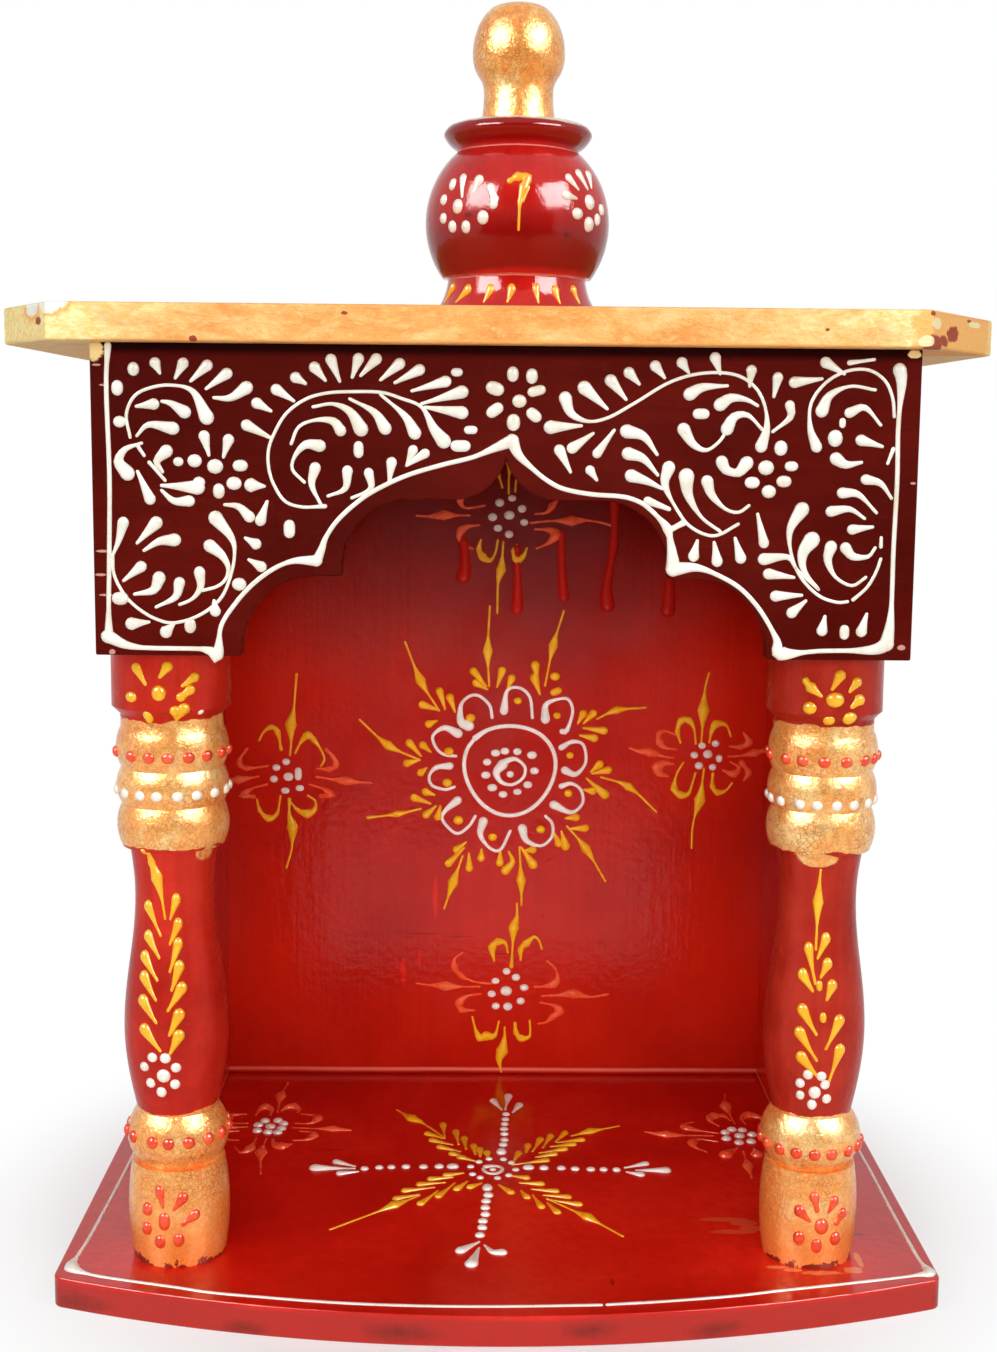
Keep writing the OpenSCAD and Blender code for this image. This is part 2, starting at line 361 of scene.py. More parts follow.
def maths(tree, operation, first, second=0.5):
    return addNode(tree, 'ShaderNodeMath', {0: first, 1: second}, operation=operation).outputs[0]


def times(tree, first, second):
    return maths(tree, 'MULTIPLY', first, second)


def bump(tree, height, strength, distance, below=None):
    node = addNode(tree, 'ShaderNodeBump', {"Height": height, "Strength": strength,
                                            "Distance": distance})
    if below:
        plug(tree, node.inputs["Normal"], below)
    return node.outputs["Normal"]


markEdge = {"grain": 170, "ragged": 0.5, "soft": 0.08}


# 1 inside each spot and 0 outside, with a ragged edge; a spot is its middle and its radii
# along x, y and z, or one radius for all three, in mm
def spotMask(tree, vector, spots, ragged, raggedness=markEdge["ragged"], soft=markEdge["soft"]):
    wander = times(tree, ragged, raggedness)
    mask = 0.0
    for spot in spots:
        radii = spot[3:] if len(spot) > 4 else spot[3:] * 3
        gap = addNode(tree, 'ShaderNodeVectorMath', {0: vector, 1: [a * mm for a in spot[:3]]},
                      operation='SUBTRACT')
        share = addNode(tree, 'ShaderNodeVectorMath',
                        {0: gap.outputs[0], 1: [r * mm for r in radii]}, operation='DIVIDE')
        reach = addNode(tree, 'ShaderNodeVectorMath', {0: share.outputs[0]}, operation='LENGTH')
        edge = maths(tree, 'ADD', reach.outputs["Value"], wander)
        mask = maths(tree, 'MAXIMUM', mask, ramp(tree, edge, (1 - soft, 1.0), (1.0, 0.0)))
    return mask


# 1 between two heights in mm, fading in from low to full and out from still to high
def heightBand(tree, height, wander, band):
    low, full, still, high, wobble = band
    height = maths(tree, 'ADD', height, times(tree, wander, wobble * mm))
    return times(tree, fade(tree, height, low * mm, full * mm),
                 fade(tree, height, high * mm, still * mm))


# smears, chips, painted shade and painted highlights: each a set of spots, how ragged and how soft
# they are, strength and colour
def addMarks(tree, colour, marks):
    plain = objectCoords(tree)
    ragged = noise(tree, plain, markEdge["grain"], 6, 0.75)
    for mark in marks:
        mask = spotMask(tree, plain, mark["spots"], ragged, mark["ragged"],
                        mark.get("soft", markEdge["soft"]))
        colour = mix(tree, times(tree, mask, mark["strength"]), colour, mark["colour"])
    return colour


lacquerGrain = {"streaks": 240, "specks": 800, "polish": 55, "ripples": 300, "bandTint": 0.85,
                "dulled": 0.14, "height": 0.6}


# clear lacquer over red stain
def lacquerCoat(tree, look):
    plain = objectCoords(tree)
    cloud = noise(tree, plain, look["cloud"], 5, 0.6)
    streak = noise(tree, objectCoords(tree, look["grain"]), lacquerGrain["streaks"], 4, 0.6)
    speck = noise(tree, plain, lacquerGrain["specks"], 2, 0.5)
    colour = tinted(tree, cloud, look)
    colour = mix(tree, ramp(tree, streak, (0.42, 0.0), (0.7, look["streak"])), colour, look["deep"])
    colour = mix(tree, ramp(tree, speck, (0.7, 0.0), (0.76, 0.5)), colour, look["pale"])
    wander = maths(tree, 'SUBTRACT', cloud, 0.5)
    # bands by height: stains, painted shade and painted highlights, each with its tint
    for *band, bandTint in look.get("stains", []):
        inBand = heightBand(tree, axisOf(tree, plain, "Z"), wander, band)
        colour = mix(tree, times(tree, inBand, lacquerGrain["bandTint"]), colour, bandTint)
    colour = addMarks(tree, colour, look.get("marks", []))
    rough = ramp(tree, noise(tree, plain, lacquerGrain["polish"], 5),
                 (0.3, look["gloss"]), (0.8, look["gloss"] + lacquerGrain["dulled"]))
    ripple = noise(tree, plain, lacquerGrain["ripples"], 3)
    height = maths(tree, 'ADD', times(tree, streak, lacquerGrain["height"]),
                   times(tree, ripple, lacquerGrain["height"]))
    return {"colour": colour, "rough": rough, "height": height, "metal": 0.0,
            "shine": look["shine"], "relief": look["relief"]}


goldGrain = {"flakes": 620, "crackle": 300, "cells": 620, "patches": 90, "dirt": 260, "endMottle": 650,
             "dulled": 0.16, "flakeHeight": 0.8, "endHighlight": 0.9, "endWander": 0.12}


# gold paint, dabbed on thick and crackled
def goldCoat(tree, look):
    plain = objectCoords(tree)
    along = objectCoords(tree, look["grain"])
    mottle = noise(tree, along, look["mottle"], 6, 0.65, 0.5)
    flakes = noise(tree, along, goldGrain["flakes"], 4, 0.7, 0.3)
    colour = tinted(tree, mottle, look, high=0.68)
    colour = mix(tree, ramp(tree, flakes, (0.5, 0.0), (0.72, 0.7)), colour, look["pale"])
    crackle = ramp(tree, noise(tree, along, goldGrain["crackle"], 5, 0.75),
                   (0.465, 0.0), (0.49, look["crackle"]), (0.515, 0.0))
    colour = mix(tree, crackle, colour, look["dirt"])
    cells = addNode(tree, 'ShaderNodeTexVoronoi', {"Vector": along, "Scale": goldGrain["cells"]},
                    feature='DISTANCE_TO_EDGE')
    cracks = ramp(tree, cells.outputs["Distance"], (0.0, look["crackle"]), (0.09, 0.0))
    patches = ramp(tree, noise(tree, plain, goldGrain["patches"], 3), (0.42, 0.0), (0.6, 1.0))
    colour = mix(tree, times(tree, cracks, patches), colour, look["dirt"])
    dirt = ramp(tree, noise(tree, plain, goldGrain["dirt"], 5, 0.75), (0.27, 0.8), (0.34, 0.0))
    colour = mix(tree, dirt, colour, look["dirt"])
    if "ends" in look:  # both ends of the roof are painted paler, a painted highlight on them
        wander = times(tree, maths(tree, 'SUBTRACT', mottle, 0.5), goldGrain["endWander"])
        outward = maths(tree, 'ADD', maths(tree, 'ABSOLUTE', axisOf(tree, plain, "X")), wander)
        ends = fade(tree, outward, look["paleFrom"] * mm, look["paleTo"] * mm, 'LINEAR')
        endMottle = ramp(tree, noise(tree, along, goldGrain["endMottle"], 4, 0.65, 0.6),
                    (0.4, 0.0), (0.62, 1.0))
        colour = mix(tree, times(tree, ends, goldGrain["endHighlight"]), colour,
                     mix(tree, endMottle, *look["ends"]))
    colour = addMarks(tree, colour, look.get("marks", []))
    rough = ramp(tree, flakes, (0.3, look["gloss"] + goldGrain["dulled"]), (0.7, look["gloss"]))
    height = maths(tree, 'ADD', mottle, times(tree, flakes, goldGrain["flakeHeight"]))
    return {"colour": colour, "rough": rough, "height": height, "metal": look["metal"],
            "shine": look["shine"], "relief": look["relief"]}


reliefDepth = 0.6 * mm


def finishCoat(tree, coat, lean=None):
    sockets = tree.nodes["Principled BSDF"].inputs
    plug(tree, sockets["Base Color"], coat["colour"])
    plug(tree, sockets["Roughness"], coat["rough"])
    plug(tree, sockets["Metallic"], coat["metal"])
    plug(tree, sockets["Specular IOR Level"], coat["shine"])
    below = None
    if lean:  # a thin board that bows back a little towards its top
        below = bump(tree, times(tree, axisOf(tree, objectCoords(tree), "Z"), -lean), 1.0, 1.0)
    plug(tree, sockets["Normal"], bump(tree, coat["height"], coat["relief"], reliefDepth, below))


def coatedWood(name, makeCoat, look):
    material, tree = newMaterial(name)
    finishCoat(tree, makeCoat(tree, look), look.get("lean"))
    return material


# in mm: gold between these heights, how far its brushed edge strays, the orange foot,
# and how high the foot is torn
columnBands = {"gold": [(5, 60.5), (146.5, 187)], "wave": 60, "stray": 6,
               "foot": (0, 1, 16, 44, 20), "footTint": 0.6,
               "torn": 10.9, "tear": 160, "tornStray": 16, "chipped": 0.9}


# a column: gold bands on red, with hand-brushed edges, smudges and a worn foot
def bandedWood(name, look):
    material, tree = newMaterial(name)
    red, gold = look["red"], look["gold"]
    plain = objectCoords(tree)
    up = axisOf(tree, plain, "Z")
    wave = maths(tree, 'SUBTRACT', noise(tree, plain, columnBands["wave"], 4, 0.6), 0.5)
    height = maths(tree, 'ADD', up, times(tree, wave, columnBands["stray"] * mm))
    ragged = noise(tree, plain, columnBands["tear"], 5, 0.7)
    gilt = spotMask(tree, plain, look["smudges"], ragged)
    for low, high in columnBands["gold"]:
        band = times(tree, maths(tree, 'GREATER_THAN', height, low * mm),
                     maths(tree, 'LESS_THAN', height, high * mm))
        gilt = maths(tree, 'MAXIMUM', gilt, band)
    under, over = lacquerCoat(tree, red), goldCoat(tree, gold)
    foot = times(tree, heightBand(tree, up, wave, columnBands["foot"]), columnBands["footTint"])
    over["colour"] = mix(tree, foot, over["colour"], gold["foot"])
    coat = {key: mix(tree, gilt, under[key], over[key]) for key in ("colour", "rough", "height")}
    stray = times(tree, maths(tree, 'SUBTRACT', ragged, 0.5), columnBands["tornStray"] * mm)
    torn = maths(tree, 'LESS_THAN', maths(tree, 'ADD', up, stray), columnBands["torn"] * mm)
    chips = spotMask(tree, plain, look["chips"], ragged, columnBands["chipped"])
    coat["colour"] = mix(tree, maths(tree, 'MAXIMUM', torn, chips), coat["colour"], gold["worn"])
    coat["metal"] = times(tree, gilt, gold["metal"])
    coat["shine"] = ramp(tree, gilt, (0.0, red["shine"]), (1.0, gold["shine"]))
    coat["relief"] = gold["relief"]
    finishCoat(tree, coat)
    return material


paintGrain = {"tint": 120, "specks": 1400, "dimples": 500, "dimpled": 0.2, "depth": 0.3 * mm,
              "dulled": 0.15}


# thick glossy paint squeezed on in lines and dots
def reliefPaint(name, look):
    material, tree = newMaterial(name)
    sockets = tree.nodes["Principled BSDF"].inputs
    plain = objectCoords(tree)
    tint = noise(tree, plain, paintGrain["tint"], 4, 0.6)
    specks = ramp(tree, noise(tree, plain, paintGrain["specks"], 2, 0.5), (0.68, 0.0), (0.78, 0.5))
    colour = mix(tree, specks, tinted(tree, tint, look, 0.32, 0.7), look["dirt"])
    plug(tree, sockets["Base Color"], colour)
    plug(tree, sockets["Roughness"],
         ramp(tree, tint, (0.3, look["gloss"]), (0.7, look["gloss"] + paintGrain["dulled"])))
    plug(tree, sockets["Normal"], bump(tree, noise(tree, plain, paintGrain["dimples"]),
                                       paintGrain["dimpled"], paintGrain["depth"]))
    return material


redLook = {"colour": (0.62, 0.013, 0.006), "deep": (0.44, 0.007, 0.0035),
           "pale": (0.76, 0.026, 0.012), "grain": (1, 1, 0.06), "cloud": 16, "streak": 0.4,
           "gloss": 0.1, "shine": 0.36, "relief": 0.3}
maroonLook = {"colour": (0.100, 0.0042, 0.0016), "deep": (0.066, 0.0022, 0.001),
              "pale": (0.14, 0.0065, 0.003), "grain": (0.06, 1, 1), "cloud": 16, "streak": 0.4,
              "gloss": 0.2, "shine": 0.05, "relief": 0.4,
              # the dark band along the panel's top is painted shade under the roof
              "stains": [(296.5, 299.4, 400, 401, 2, (0.006, 0.0006, 0.0005))]}
goldLook = {"colour": (0.97, 0.42, 0.095), "deep": (0.95, 0.29, 0.045), "pale": (0.98, 0.66, 0.26),
            "dirt": (0.42, 0.10, 0.022), "worn": (0.26, 0.025, 0.010), "foot": (0.98, 0.30, 0.05),
            "grain": (1, 1, 1), "mottle": 75, "crackle": 0.75, "gloss": 0.1, "shine": 0.6,
            "metal": 0.25, "relief": 0.5}
creamLook = {"colour": (0.90, 0.86, 0.75), "deep": (0.84, 0.76, 0.60), "pale": (0.93, 0.90, 0.82),
             "dirt": (0.45, 0.28, 0.16), "gloss": 0.22}
yellowLook = {"colour": (0.97, 0.47, 0.008), "deep": (0.93, 0.37, 0.006),
              "pale": (0.98, 0.56, 0.02), "dirt": (0.55, 0.2, 0.02), "gloss": 0.2}
orangeLook = {"colour": (0.97, 0.085, 0.020), "deep": (0.90, 0.062, 0.014),
              "pale": (0.98, 0.14, 0.038), "dirt": (0.4, 0.02, 0.01), "gloss": 0.2}

# marks on the base: gold brushed past the right foot, thinner strokes to its left,
# a dark scratch, a grubby edge
goldSmear = {"spots": [(104.6, -77.6, 10, 13, 3.4, 9), (117.5, -68, 10, 2.4, 10, 9),
                       (114, -75.5, 10, 6, 4.5, 9), (90, -73.6, 10, 7, 2, 9),
                       (94.5, -75.6, 10, 6, 2.4, 9)],
             "ragged": 0.95, "strength": 0.7, "colour": (0.93, 0.34, 0.11)}
paleSmear = {"spots": [(78, -38.5, 10, 13, 2.4, 6), (84, -41, 10, 7, 3.6, 6),
                       (80, -48, 10, 12, 2.4, 6), (86, -45.5, 10, 6, 3.4, 6)],
             "ragged": 0.6, "strength": 0.5, "colour": (0.80, 0.17, 0.06)}
baseScratch = {"spots": [(120.5, -49.5, 10, 3.6, 1, 5), (-60, 20, 10, 5, 0.6, 3),
                         (36, -84, 10, 0.8, 3, 3)],
               "ragged": 0.5, "strength": 0.7, "colour": (0.12, 0.006, 0.004)}
baseGrime = {"spots": [(-134, -88, 3, 26, 30, 9), (-30, -105, 4, 26, 9, 7),
                       (28, -106, 5, 20, 9, 6), (66, -100, 3, 22, 12, 6),
                       (-78, -98, 2, 20, 10, 6), (141, -60, 4, 8, 60, 9)],
             "ragged": 0.9, "soft": 0.5, "strength": 0.9, "colour": (0.20, 0.012, 0.006)}
baseWood = coatedWood("redLacquer", lacquerCoat, dict(
    redLook, colour=(0.72, 0.013, 0.005), deep=(0.54, 0.008, 0.003), pale=(0.84, 0.026, 0.010),
    stains=[(-4, -3, 8.2, 9.6, 2, (0.43, 0.020, 0.012))],
    marks=[goldSmear, paleSmear, baseScratch, baseGrime]))

# marks on the inner walls: painted shade under the roof, painted light at the sides, red runs,
# wrinkles
wallPaintedShade = {"spots": [(0, 100.5, 275, 500, 3, 122), (-110, 30, 275, 3, 300, 135),
                       (110, 30, 275, 3, 300, 135)],
             "ragged": 0.35, "soft": 0.7, "strength": 0.95, "colour": (0.15, 0.0016, 0.0008)}
# brighter spots at the sides of the back panel are painted light
wallPaintedLight = {"spots": [(-106, 100, 176, 84), (106, 100, 176, 84), (-106, 100, 60, 80),
                        (106, 100, 60, 80)],
              "ragged": 0.5, "soft": 0.6, "strength": 0.85, "colour": (0.74, 0.018, 0.005)}
wallRuns = {"spots": [(-37.7, 100.5, 54, 1.8, 5, 9), (-24.5, 100.5, 86, 1.8, 5, 14),
                      (-31, 100.5, 60, 1.2, 5, 6)],
            "ragged": 0.5, "soft": 0.3, "strength": 0.7, "colour": (0.85, 0.02, 0.008)}
wallWrinkles = {"spots": [(-30, 100.5, 70.4, 15, 5, 0.6), (-14, 100.5, 69.2, 10, 5, 0.5),
                          (-38, 100.5, 71.6, 8, 5, 0.5), (2, 100.5, 62, 5, 5, 0.5),
                          (20, 100.5, 78, 1, 5, 1), (-52, 100.5, 96, 1, 5, 1)],
                "ragged": 0.5, "soft": 0.3, "strength": 0.6, "colour": (0.22, 0.006, 0.003)}
wallLook = dict(redLook, colour=(0.52, 0.010, 0.003), deep=(0.36, 0.006, 0.002),
                pale=(0.64, 0.018, 0.005), cloud=11, shine=0.3, streak=0.15, relief=0.45,
                # along the foot of the walls a pale line, a painted highlight on the lacquer there,
                # over a darker line
                stains=[(11, 12, 12.4, 13.2, 1, (0.90, 0.20, 0.14)),
                        (9, 9.1, 10.2, 10.9, 1, (0.18, 0.003, 0.002))])
# the side walls are painted lighter than the back panel, as painted light inside the shrine
litSideWallWood = coatedWood("litSideWallLacquer", lacquerCoat, dict(
    wallLook, colour=(0.70, 0.017, 0.005), deep=(0.52, 0.010, 0.003), pale=(0.82, 0.028, 0.008),
    marks=[wallPaintedShade]))
backWood = coatedWood("backLacquer", lacquerCoat, dict(
    wallLook, lean=0.03, marks=[wallPaintedLight, wallPaintedShade, wallRuns, wallWrinkles]))

# painted shade darkens the pot under its belly and round its rim, painted highlights run along its
# two creases, and the flat top of its rim is pale
potShadows = {"spots": [(-10, -24, 335, 5, 8, 5), (-12, -20, 346, 3, 8, 3),
                        (20, -20, 340, 3, 8, 2.4)],
              "ragged": 1.0, "soft": 0.5, "strength": 0.8, "colour": (0.05, 0.004, 0.003)}
potWood = coatedWood("potLacquer", lacquerCoat, dict(
    redLook, colour=(0.58, 0.014, 0.009), deep=(0.38, 0.007, 0.005), pale=(0.70, 0.026, 0.018),
    cloud=24, gloss=0.05, shine=0.28, marks=[potShadows],
    # painted shade under the belly and on the rim, painted highlights on the two creases, then the
    # pale rim top
    stains=[(327.6, 330, 338, 354, 8, (0.22, 0.003, 0.002)),
            (369.8, 371.5, 400, 401, 3, (0.26, 0.004, 0.002)),
            (327, 327.2, 327.5, 327.8, 2, (0.9, 0.36, 0.3)),
            (369, 369.2, 369.5, 369.8, 2, (0.9, 0.36, 0.3)),
            (377, 377.6, 400, 401, 4, (0.95, 0.78, 0.6))]))
knobBands = {"spots": [(4.5, -8, 397.5, 20, 16, 5), (4.5, -8, 381.5, 18, 12, 3)], "ragged": 1.0,
             "soft": 0.6, "strength": 0.5, "colour": (0.82, 0.25, 0.04)}
knobWood = coatedWood("goldPaint", goldCoat, dict(
    goldLook, colour=(0.95, 0.42, 0.085), deep=(0.90, 0.27, 0.04), gloss=0.07, marks=[knobBands]))

# marks on the arch panel: gold from the roof on its top corners, pale specks down its edges
panelGold = {"spots": [(-120.8, -87, 299, 6, 8, 7), (119.8, -87, 299.6, 4.4, 8, 2.8)],
             "ragged": 0.95, "strength": 0.95, "colour": (0.95, 0.70, 0.30)}
panelEdgeSpecks = {"spots": [(-120, -87, 294.4, 2, 3, 0.5), (-118, -87, 288.6, 2, 3, 0.5),
                        (-119, -87, 240, 3.4, 3, 0.6), (-120, -87, 233, 2.6, 3, 0.6),
                        (-118.6, -87, 227, 3.2, 3, 0.5), (-117, -87, 210, 1.4, 3, 1.2),
                        (119, -87, 213, 1.8, 3, 1.2), (120.6, -87, 262, 1.4, 3, 0.6)],
              "ragged": 0.6, "strength": 0.8, "colour": (0.72, 0.36, 0.30)}
panelWood = coatedWood("maroonLacquer", lacquerCoat,
                       dict(maroonLook, marks=[panelGold, panelEdgeSpecks]))

# the roof: a white painted highlight with an orange edge at the left corner, red-brown wood under
# flaked orange at the right, small chips and a brighter lower edge along the front; both ends
# painted paler as a painted highlight
roofWorn = {"spots": [(-138.5, -86, 311, 13, 18, 10), (-131, -95.7, 311.5, 12, 12, 8.4)],
            "ragged": 0.95, "strength": 0.8, "colour": (0.93, 0.42, 0.08)}
roofPaintedHighlight = {"spots": [(-138.5, -86, 312, 11, 16, 8.4), (-132.5, -95, 312, 11, 11, 7.4)],
            "ragged": 0.95, "strength": 0.95, "colour": (0.95, 0.93, 0.84)}
roofCorner = {"spots": [(138, -78, 306, 36, 44, 30)],
              "ragged": 0.5, "strength": 0.9, "colour": (0.95, 0.46, 0.12)}
roofFlakes = {"spots": [(124.5, -92.5, 308.2, 4.4, 6, 2.6), (143, -64, 309.6, 7, 10, 1.4),
                        (121, -95.7, 303, 4, 4, 2.4)],
              "ragged": 0.6, "strength": 0.9, "colour": (0.95, 0.84, 0.48)}
roofChips = {"spots": [(124, -93, 302.2, 9, 13, 5.4), (131.8, -81.5, 305.6, 8.5, 13, 4.6),
                       (128, -88, 303.6, 7, 10, 3.4), (122.6, -95.5, 311, 2, 3, 1.6),
                       (140, -68, 310.4, 3, 5, 1), (-90.4, -95.7, 301.8, 2.2, 4, 1.6),
                       (-47, -95.7, 309.4, 2, 4, 1.2), (92, -95.7, 306, 1.4, 4, 1),
                       (-135.9, -90.3, 306.6, 4, 5, 2.2)],
             "ragged": 0.9, "strength": 0.95, "colour": (0.33, 0.035, 0.011)}
roofEdge = {"spots": [(0, -95.7, 301, 170, 6, 1.5)],
            "ragged": 0.4, "strength": 0.7, "colour": (0.95, 0.40, 0.11)}
roofWood = coatedWood("roofPaint", goldCoat, dict(
    goldLook, colour=(0.88, 0.40, 0.105), deep=(0.80, 0.30, 0.062), pale=(0.96, 0.60, 0.24),
    grain=(0.5, 1, 1), metal=0.05, gloss=0.52, shine=0.12, relief=1.0, mottle=110, crackle=0.15,
    paleFrom=74, paleTo=135, ends=((0.97, 0.68, 0.22), (0.99, 0.90, 0.47)),
    marks=[roofCorner, roofWorn, roofPaintedHighlight, roofEdge, roofChips, roofFlakes]))

creamPaint = reliefPaint("creamPaint", creamLook)
yellowPaint = reliefPaint("yellowPaint", yellowLook)
# the paint inside the shrine is painted lighter than the same paint outside, as painted light
# against the shade in there
innerLitCream = reliefPaint("innerLitCream", dict(
    creamLook, colour=(0.97, 0.94, 0.86), deep=(0.92, 0.86, 0.74), pale=(0.98, 0.96, 0.90)))
innerLitYellow = reliefPaint("innerLitYellow", dict(
    yellowLook, colour=(0.99, 0.50, 0.010), deep=(0.98, 0.41, 0.008), pale=(0.99, 0.58, 0.02)))
innerLitOrange = reliefPaint("innerLitOrange", dict(
    orangeLook, colour=(0.99, 0.12, 0.035), deep=(0.96, 0.09, 0.025), pale=(0.99, 0.18, 0.06)))
beadPaint = reliefPaint("beadPaint", dict(
    orangeLook, colour=(0.86, 0.072, 0.016), deep=(0.72, 0.046, 0.010), pale=(0.92, 0.13, 0.035)))
print("materials ready")


# boards, with how far their arrises are eased in mm
boards = [
    ("base_board", 1.4, baseWood, "red_lacquered_wood"),
    ("back_panel", 0.6, backWood, "red_lacquered_wood"),
    ("left_side_wall", 0.6, litSideWallWood, "red_lacquered_wood"),
    ("right_side_wall", 0.6, litSideWallWood, "red_lacquered_wood"),
    ("arch_panel", 0.7, panelWood, "maroon_lacquered_wood"),
    ("roof_board", 0.9, roofWood, "gold_painted_wood"),
]
for node, ease, material, slotName in boards:
    finishPiece(easedBoard(node, node + "_eased", ease), material, slotName, node)
print("boards ready")

# turned columns, each a little different, as they were turned by hand: radii and heights in mm;
# aside is how far one is set off the middle of its place
columnShape = {"left": {
    "footEnd": 14.8, "foot": 16.3, "footTop": 32.0, "collar": 16.3, "collarTop": 49.5,
    "shaftFoot": 13.0, "belly": 16.6, "bellyUp": 26.5, "waist": 12.4, "waistUp": 71.0,
    "shaftTop": 13.8, "shaftLength": 86.5, "ring": 17.6, "groove": 16.0,
    "rings": (13.5, 11.5, 13.0), "neck": 4.0, "block": 18.6, "aside": -1.1}}
columnShape["right"] = dict(
    columnShape["left"], footEnd=14.4, foot=15.8, collar=16.2, shaftFoot=12.8, belly=16.2,
    waist=12.0, shaftTop=13.6, ring=17.2, groove=15.7, block=18.1, aside=-1.3)


def columnOutline(shape, height):
    foot, groove = shape["shaftFoot"], shape["groove"]
    shaft = shape["collarTop"]
    points = swell((shape["footEnd"], 0), (shape["footEnd"], shape["footTop"]),
                   shape["foot"] - shape["footEnd"])
    points += swell((foot, shape["footTop"]), (foot, shaft), shape["collar"] - foot)
    belly = (shape["belly"], shaft + shape["bellyUp"])
    waist = (shape["waist"], shaft + shape["waistUp"])
    z = shaft + shape["shaftLength"]
    points += easeTo((foot, shaft), belly, lambda t: math.sin(math.pi * t / 2), 10)
    points += easeTo(belly, waist, lambda t: (1 - math.cos(math.pi * t)) / 2, 12)
    points += easeTo(waist, (shape["shaftTop"], z), lambda t: 1 - math.cos(math.pi * t / 2), 6)
    for ringHeight in shape["rings"]:
        points += swell((groove, z), (groove, z + ringHeight), shape["ring"] - groove)
        z += ringHeight
    z += shape["neck"]
    points += [(groove, z), (shape["block"], z + shape["block"] - groove), (shape["block"], height)]
    return [(r * mm, h * mm) for r, h in points]


columnRed = dict(redLook, gloss=0.22, shine=0.14, cloud=26)
columnLook = {
    "left": {"gold": goldLook,
             "red": dict(columnRed, colour=(0.57, 0.022, 0.009), deep=(0.36, 0.009, 0.004),
                         pale=(0.70, 0.040, 0.018)),
             "smudges": [(-92.5, -68.9, 144.8, 5.5, 5.5, 4)],
             "chips": [(-113, -74, 11, 2.8), (-97, -75.5, 10.5, 3.2), (-88, -66, 11, 2.4)]},
    "right": {"gold": goldLook,
              "red": dict(columnRed, colour=(0.46, 0.024, 0.010), deep=(0.28, 0.009, 0.004),
                          pale=(0.60, 0.050, 0.024)),
              "smudges": [(97.8, -74, 144.8, 11, 7, 4)],
              "chips": [(94, -74, 10.5, 3.2), (108, -75.5, 11, 2.8), (117, -66, 12, 2.4)]},
}
columnAxes = {}
for side in ("left", "right"):
    node = side + "_column"
    low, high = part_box(node)
    axis = Vector(((low.x + high.x) / 2, (low.y + high.y) / 2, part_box("base_board")[1].z))
    axis.x += columnShape[side]["aside"] * mm
    outline = columnOutline(columnShape[side], (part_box("roof_board")[0].z - axis.z) / mm)
    columnAxes[side] = axis, outline
    finishPiece(turned(node + "_turned", outline, axis, 40),
                bandedWood(side + "ColumnPaint", columnLook[side]), "red_lacquered_wood", node)
print("columns ready")

# pot finial: flared foot, round body, neck with a flared rim; radii and heights in mm
potShape = {"foot": 31.0, "footHeight": 15.5, "waist": 23.4, "belly": 31.2, "bellyUp": 34.0,
            "neck": 20.4, "neckUp": 57.7, "rim": 25.0, "rimUp": 66.5,
            "lip": ((0, 3), (0.4, 2.1), (1.2, 1.1), (2.4, 0.4), (3.8, 0), (8, 0), (15, 0))}


# small steps, all under 4 mm, ease its edges
def potOutline(shape):
    points = [(shape["foot"] - 0.4, 0), (shape["foot"], 0.5)]
    points += swell((shape["foot"], 1.2), (shape["waist"], shape["footHeight"]), -1.6)[1:]
    start = shape["footHeight"] + 0.3 - shape["bellyUp"]
    end = shape["neckUp"] - shape["bellyUp"]
    for i in range(21):
        up = start + (end - start) * i / 20
        points.append((math.sqrt(shape["belly"] ** 2 - up ** 2), shape["bellyUp"] + up))
    points += swell((shape["neck"] + 0.4, shape["neckUp"] + 0.7),
                    (shape["rim"], shape["rimUp"] - 3.6), 0.5, 7)
    points += [(shape["rim"] - r, shape["rimUp"] - h) for r, h in shape["lip"]]
    return [(r * mm, h * mm) for r, h in points]


low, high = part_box("finial_pot")
potAxis = Vector(((low.x + high.x) / 2, (low.y + high.y) / 2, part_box("roof_board")[1].z))
finishPiece(turned("finial_pot_turned", potOutline(potShape), potAxis, 28, 128),
            potWood, "red_lacquered_wood", "finial_pot")

# knob: an egg of a ball, cut flat on top, over a short neck; radius and height in mm
knobShape = [(12.5, 0), (12.4, 1.6), (12.1, 3.8), (11.8, 6.9), (11.7, 10.8), (12.1, 13.5),
             (13, 15.3), (14.4, 17.6), (15.3, 20.6), (15.5, 24.2), (14.9, 28.6), (13.5, 32.6),
             (11.8, 35.4), (10.4, 37), (9, 38.1), (7, 38.9), (4.5, 39.5)]


def knobOutline(shape, top, step=1.2, middle=2):
    points = smoothPath([Vector(spot) for spot in shape], step)
    return [(r * mm, min(h, top) * mm) for r, h in points] + [(middle * mm, top * mm)]


knobAxis = Vector((potAxis.x, potAxis.y, potAxis.z + potShape["rimUp"] * mm))
knobTop = (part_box("finial_knob")[1].z - knobAxis.z) / mm
finishPiece(turned("finial_knob_turned", knobOutline(knobShape, knobTop), knobAxis, 40),
            knobWood, "gold_painted_wood", "finial_knob")
print("finial ready")


# raised paint on each surface: u and v lie on it and h stands off it, in mm
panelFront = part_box("arch_panel")[0].y / mm
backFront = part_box("back_panel")[0].y / mm
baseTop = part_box("base_board")[1].z / mm


def onPanel(u, v, h):
    return Vector((u, panelFront - h, v))


def onBack(u, v, h):
    return Vector((u, backFront - h, v))


def onBase(u, v, h):
    return Vector((u, v, baseTop + h))


# a hand-drawn ring, a little out of round and thicker where it begins
def ringStroke(look, start=138, count=24):
    u, v = look["centre"]
    points = []
    for i in range(count + 1):
        turn = math.radians(start - i * 360 / count)
        reach = look["radius"] + look["wobble"] * math.sin(3 * turn) * 2
        points.append((u + reach * math.cos(turn), v + reach * math.sin(turn)))
    points[0] = (*points[0], look["line"] * 1.5)
    return [points]


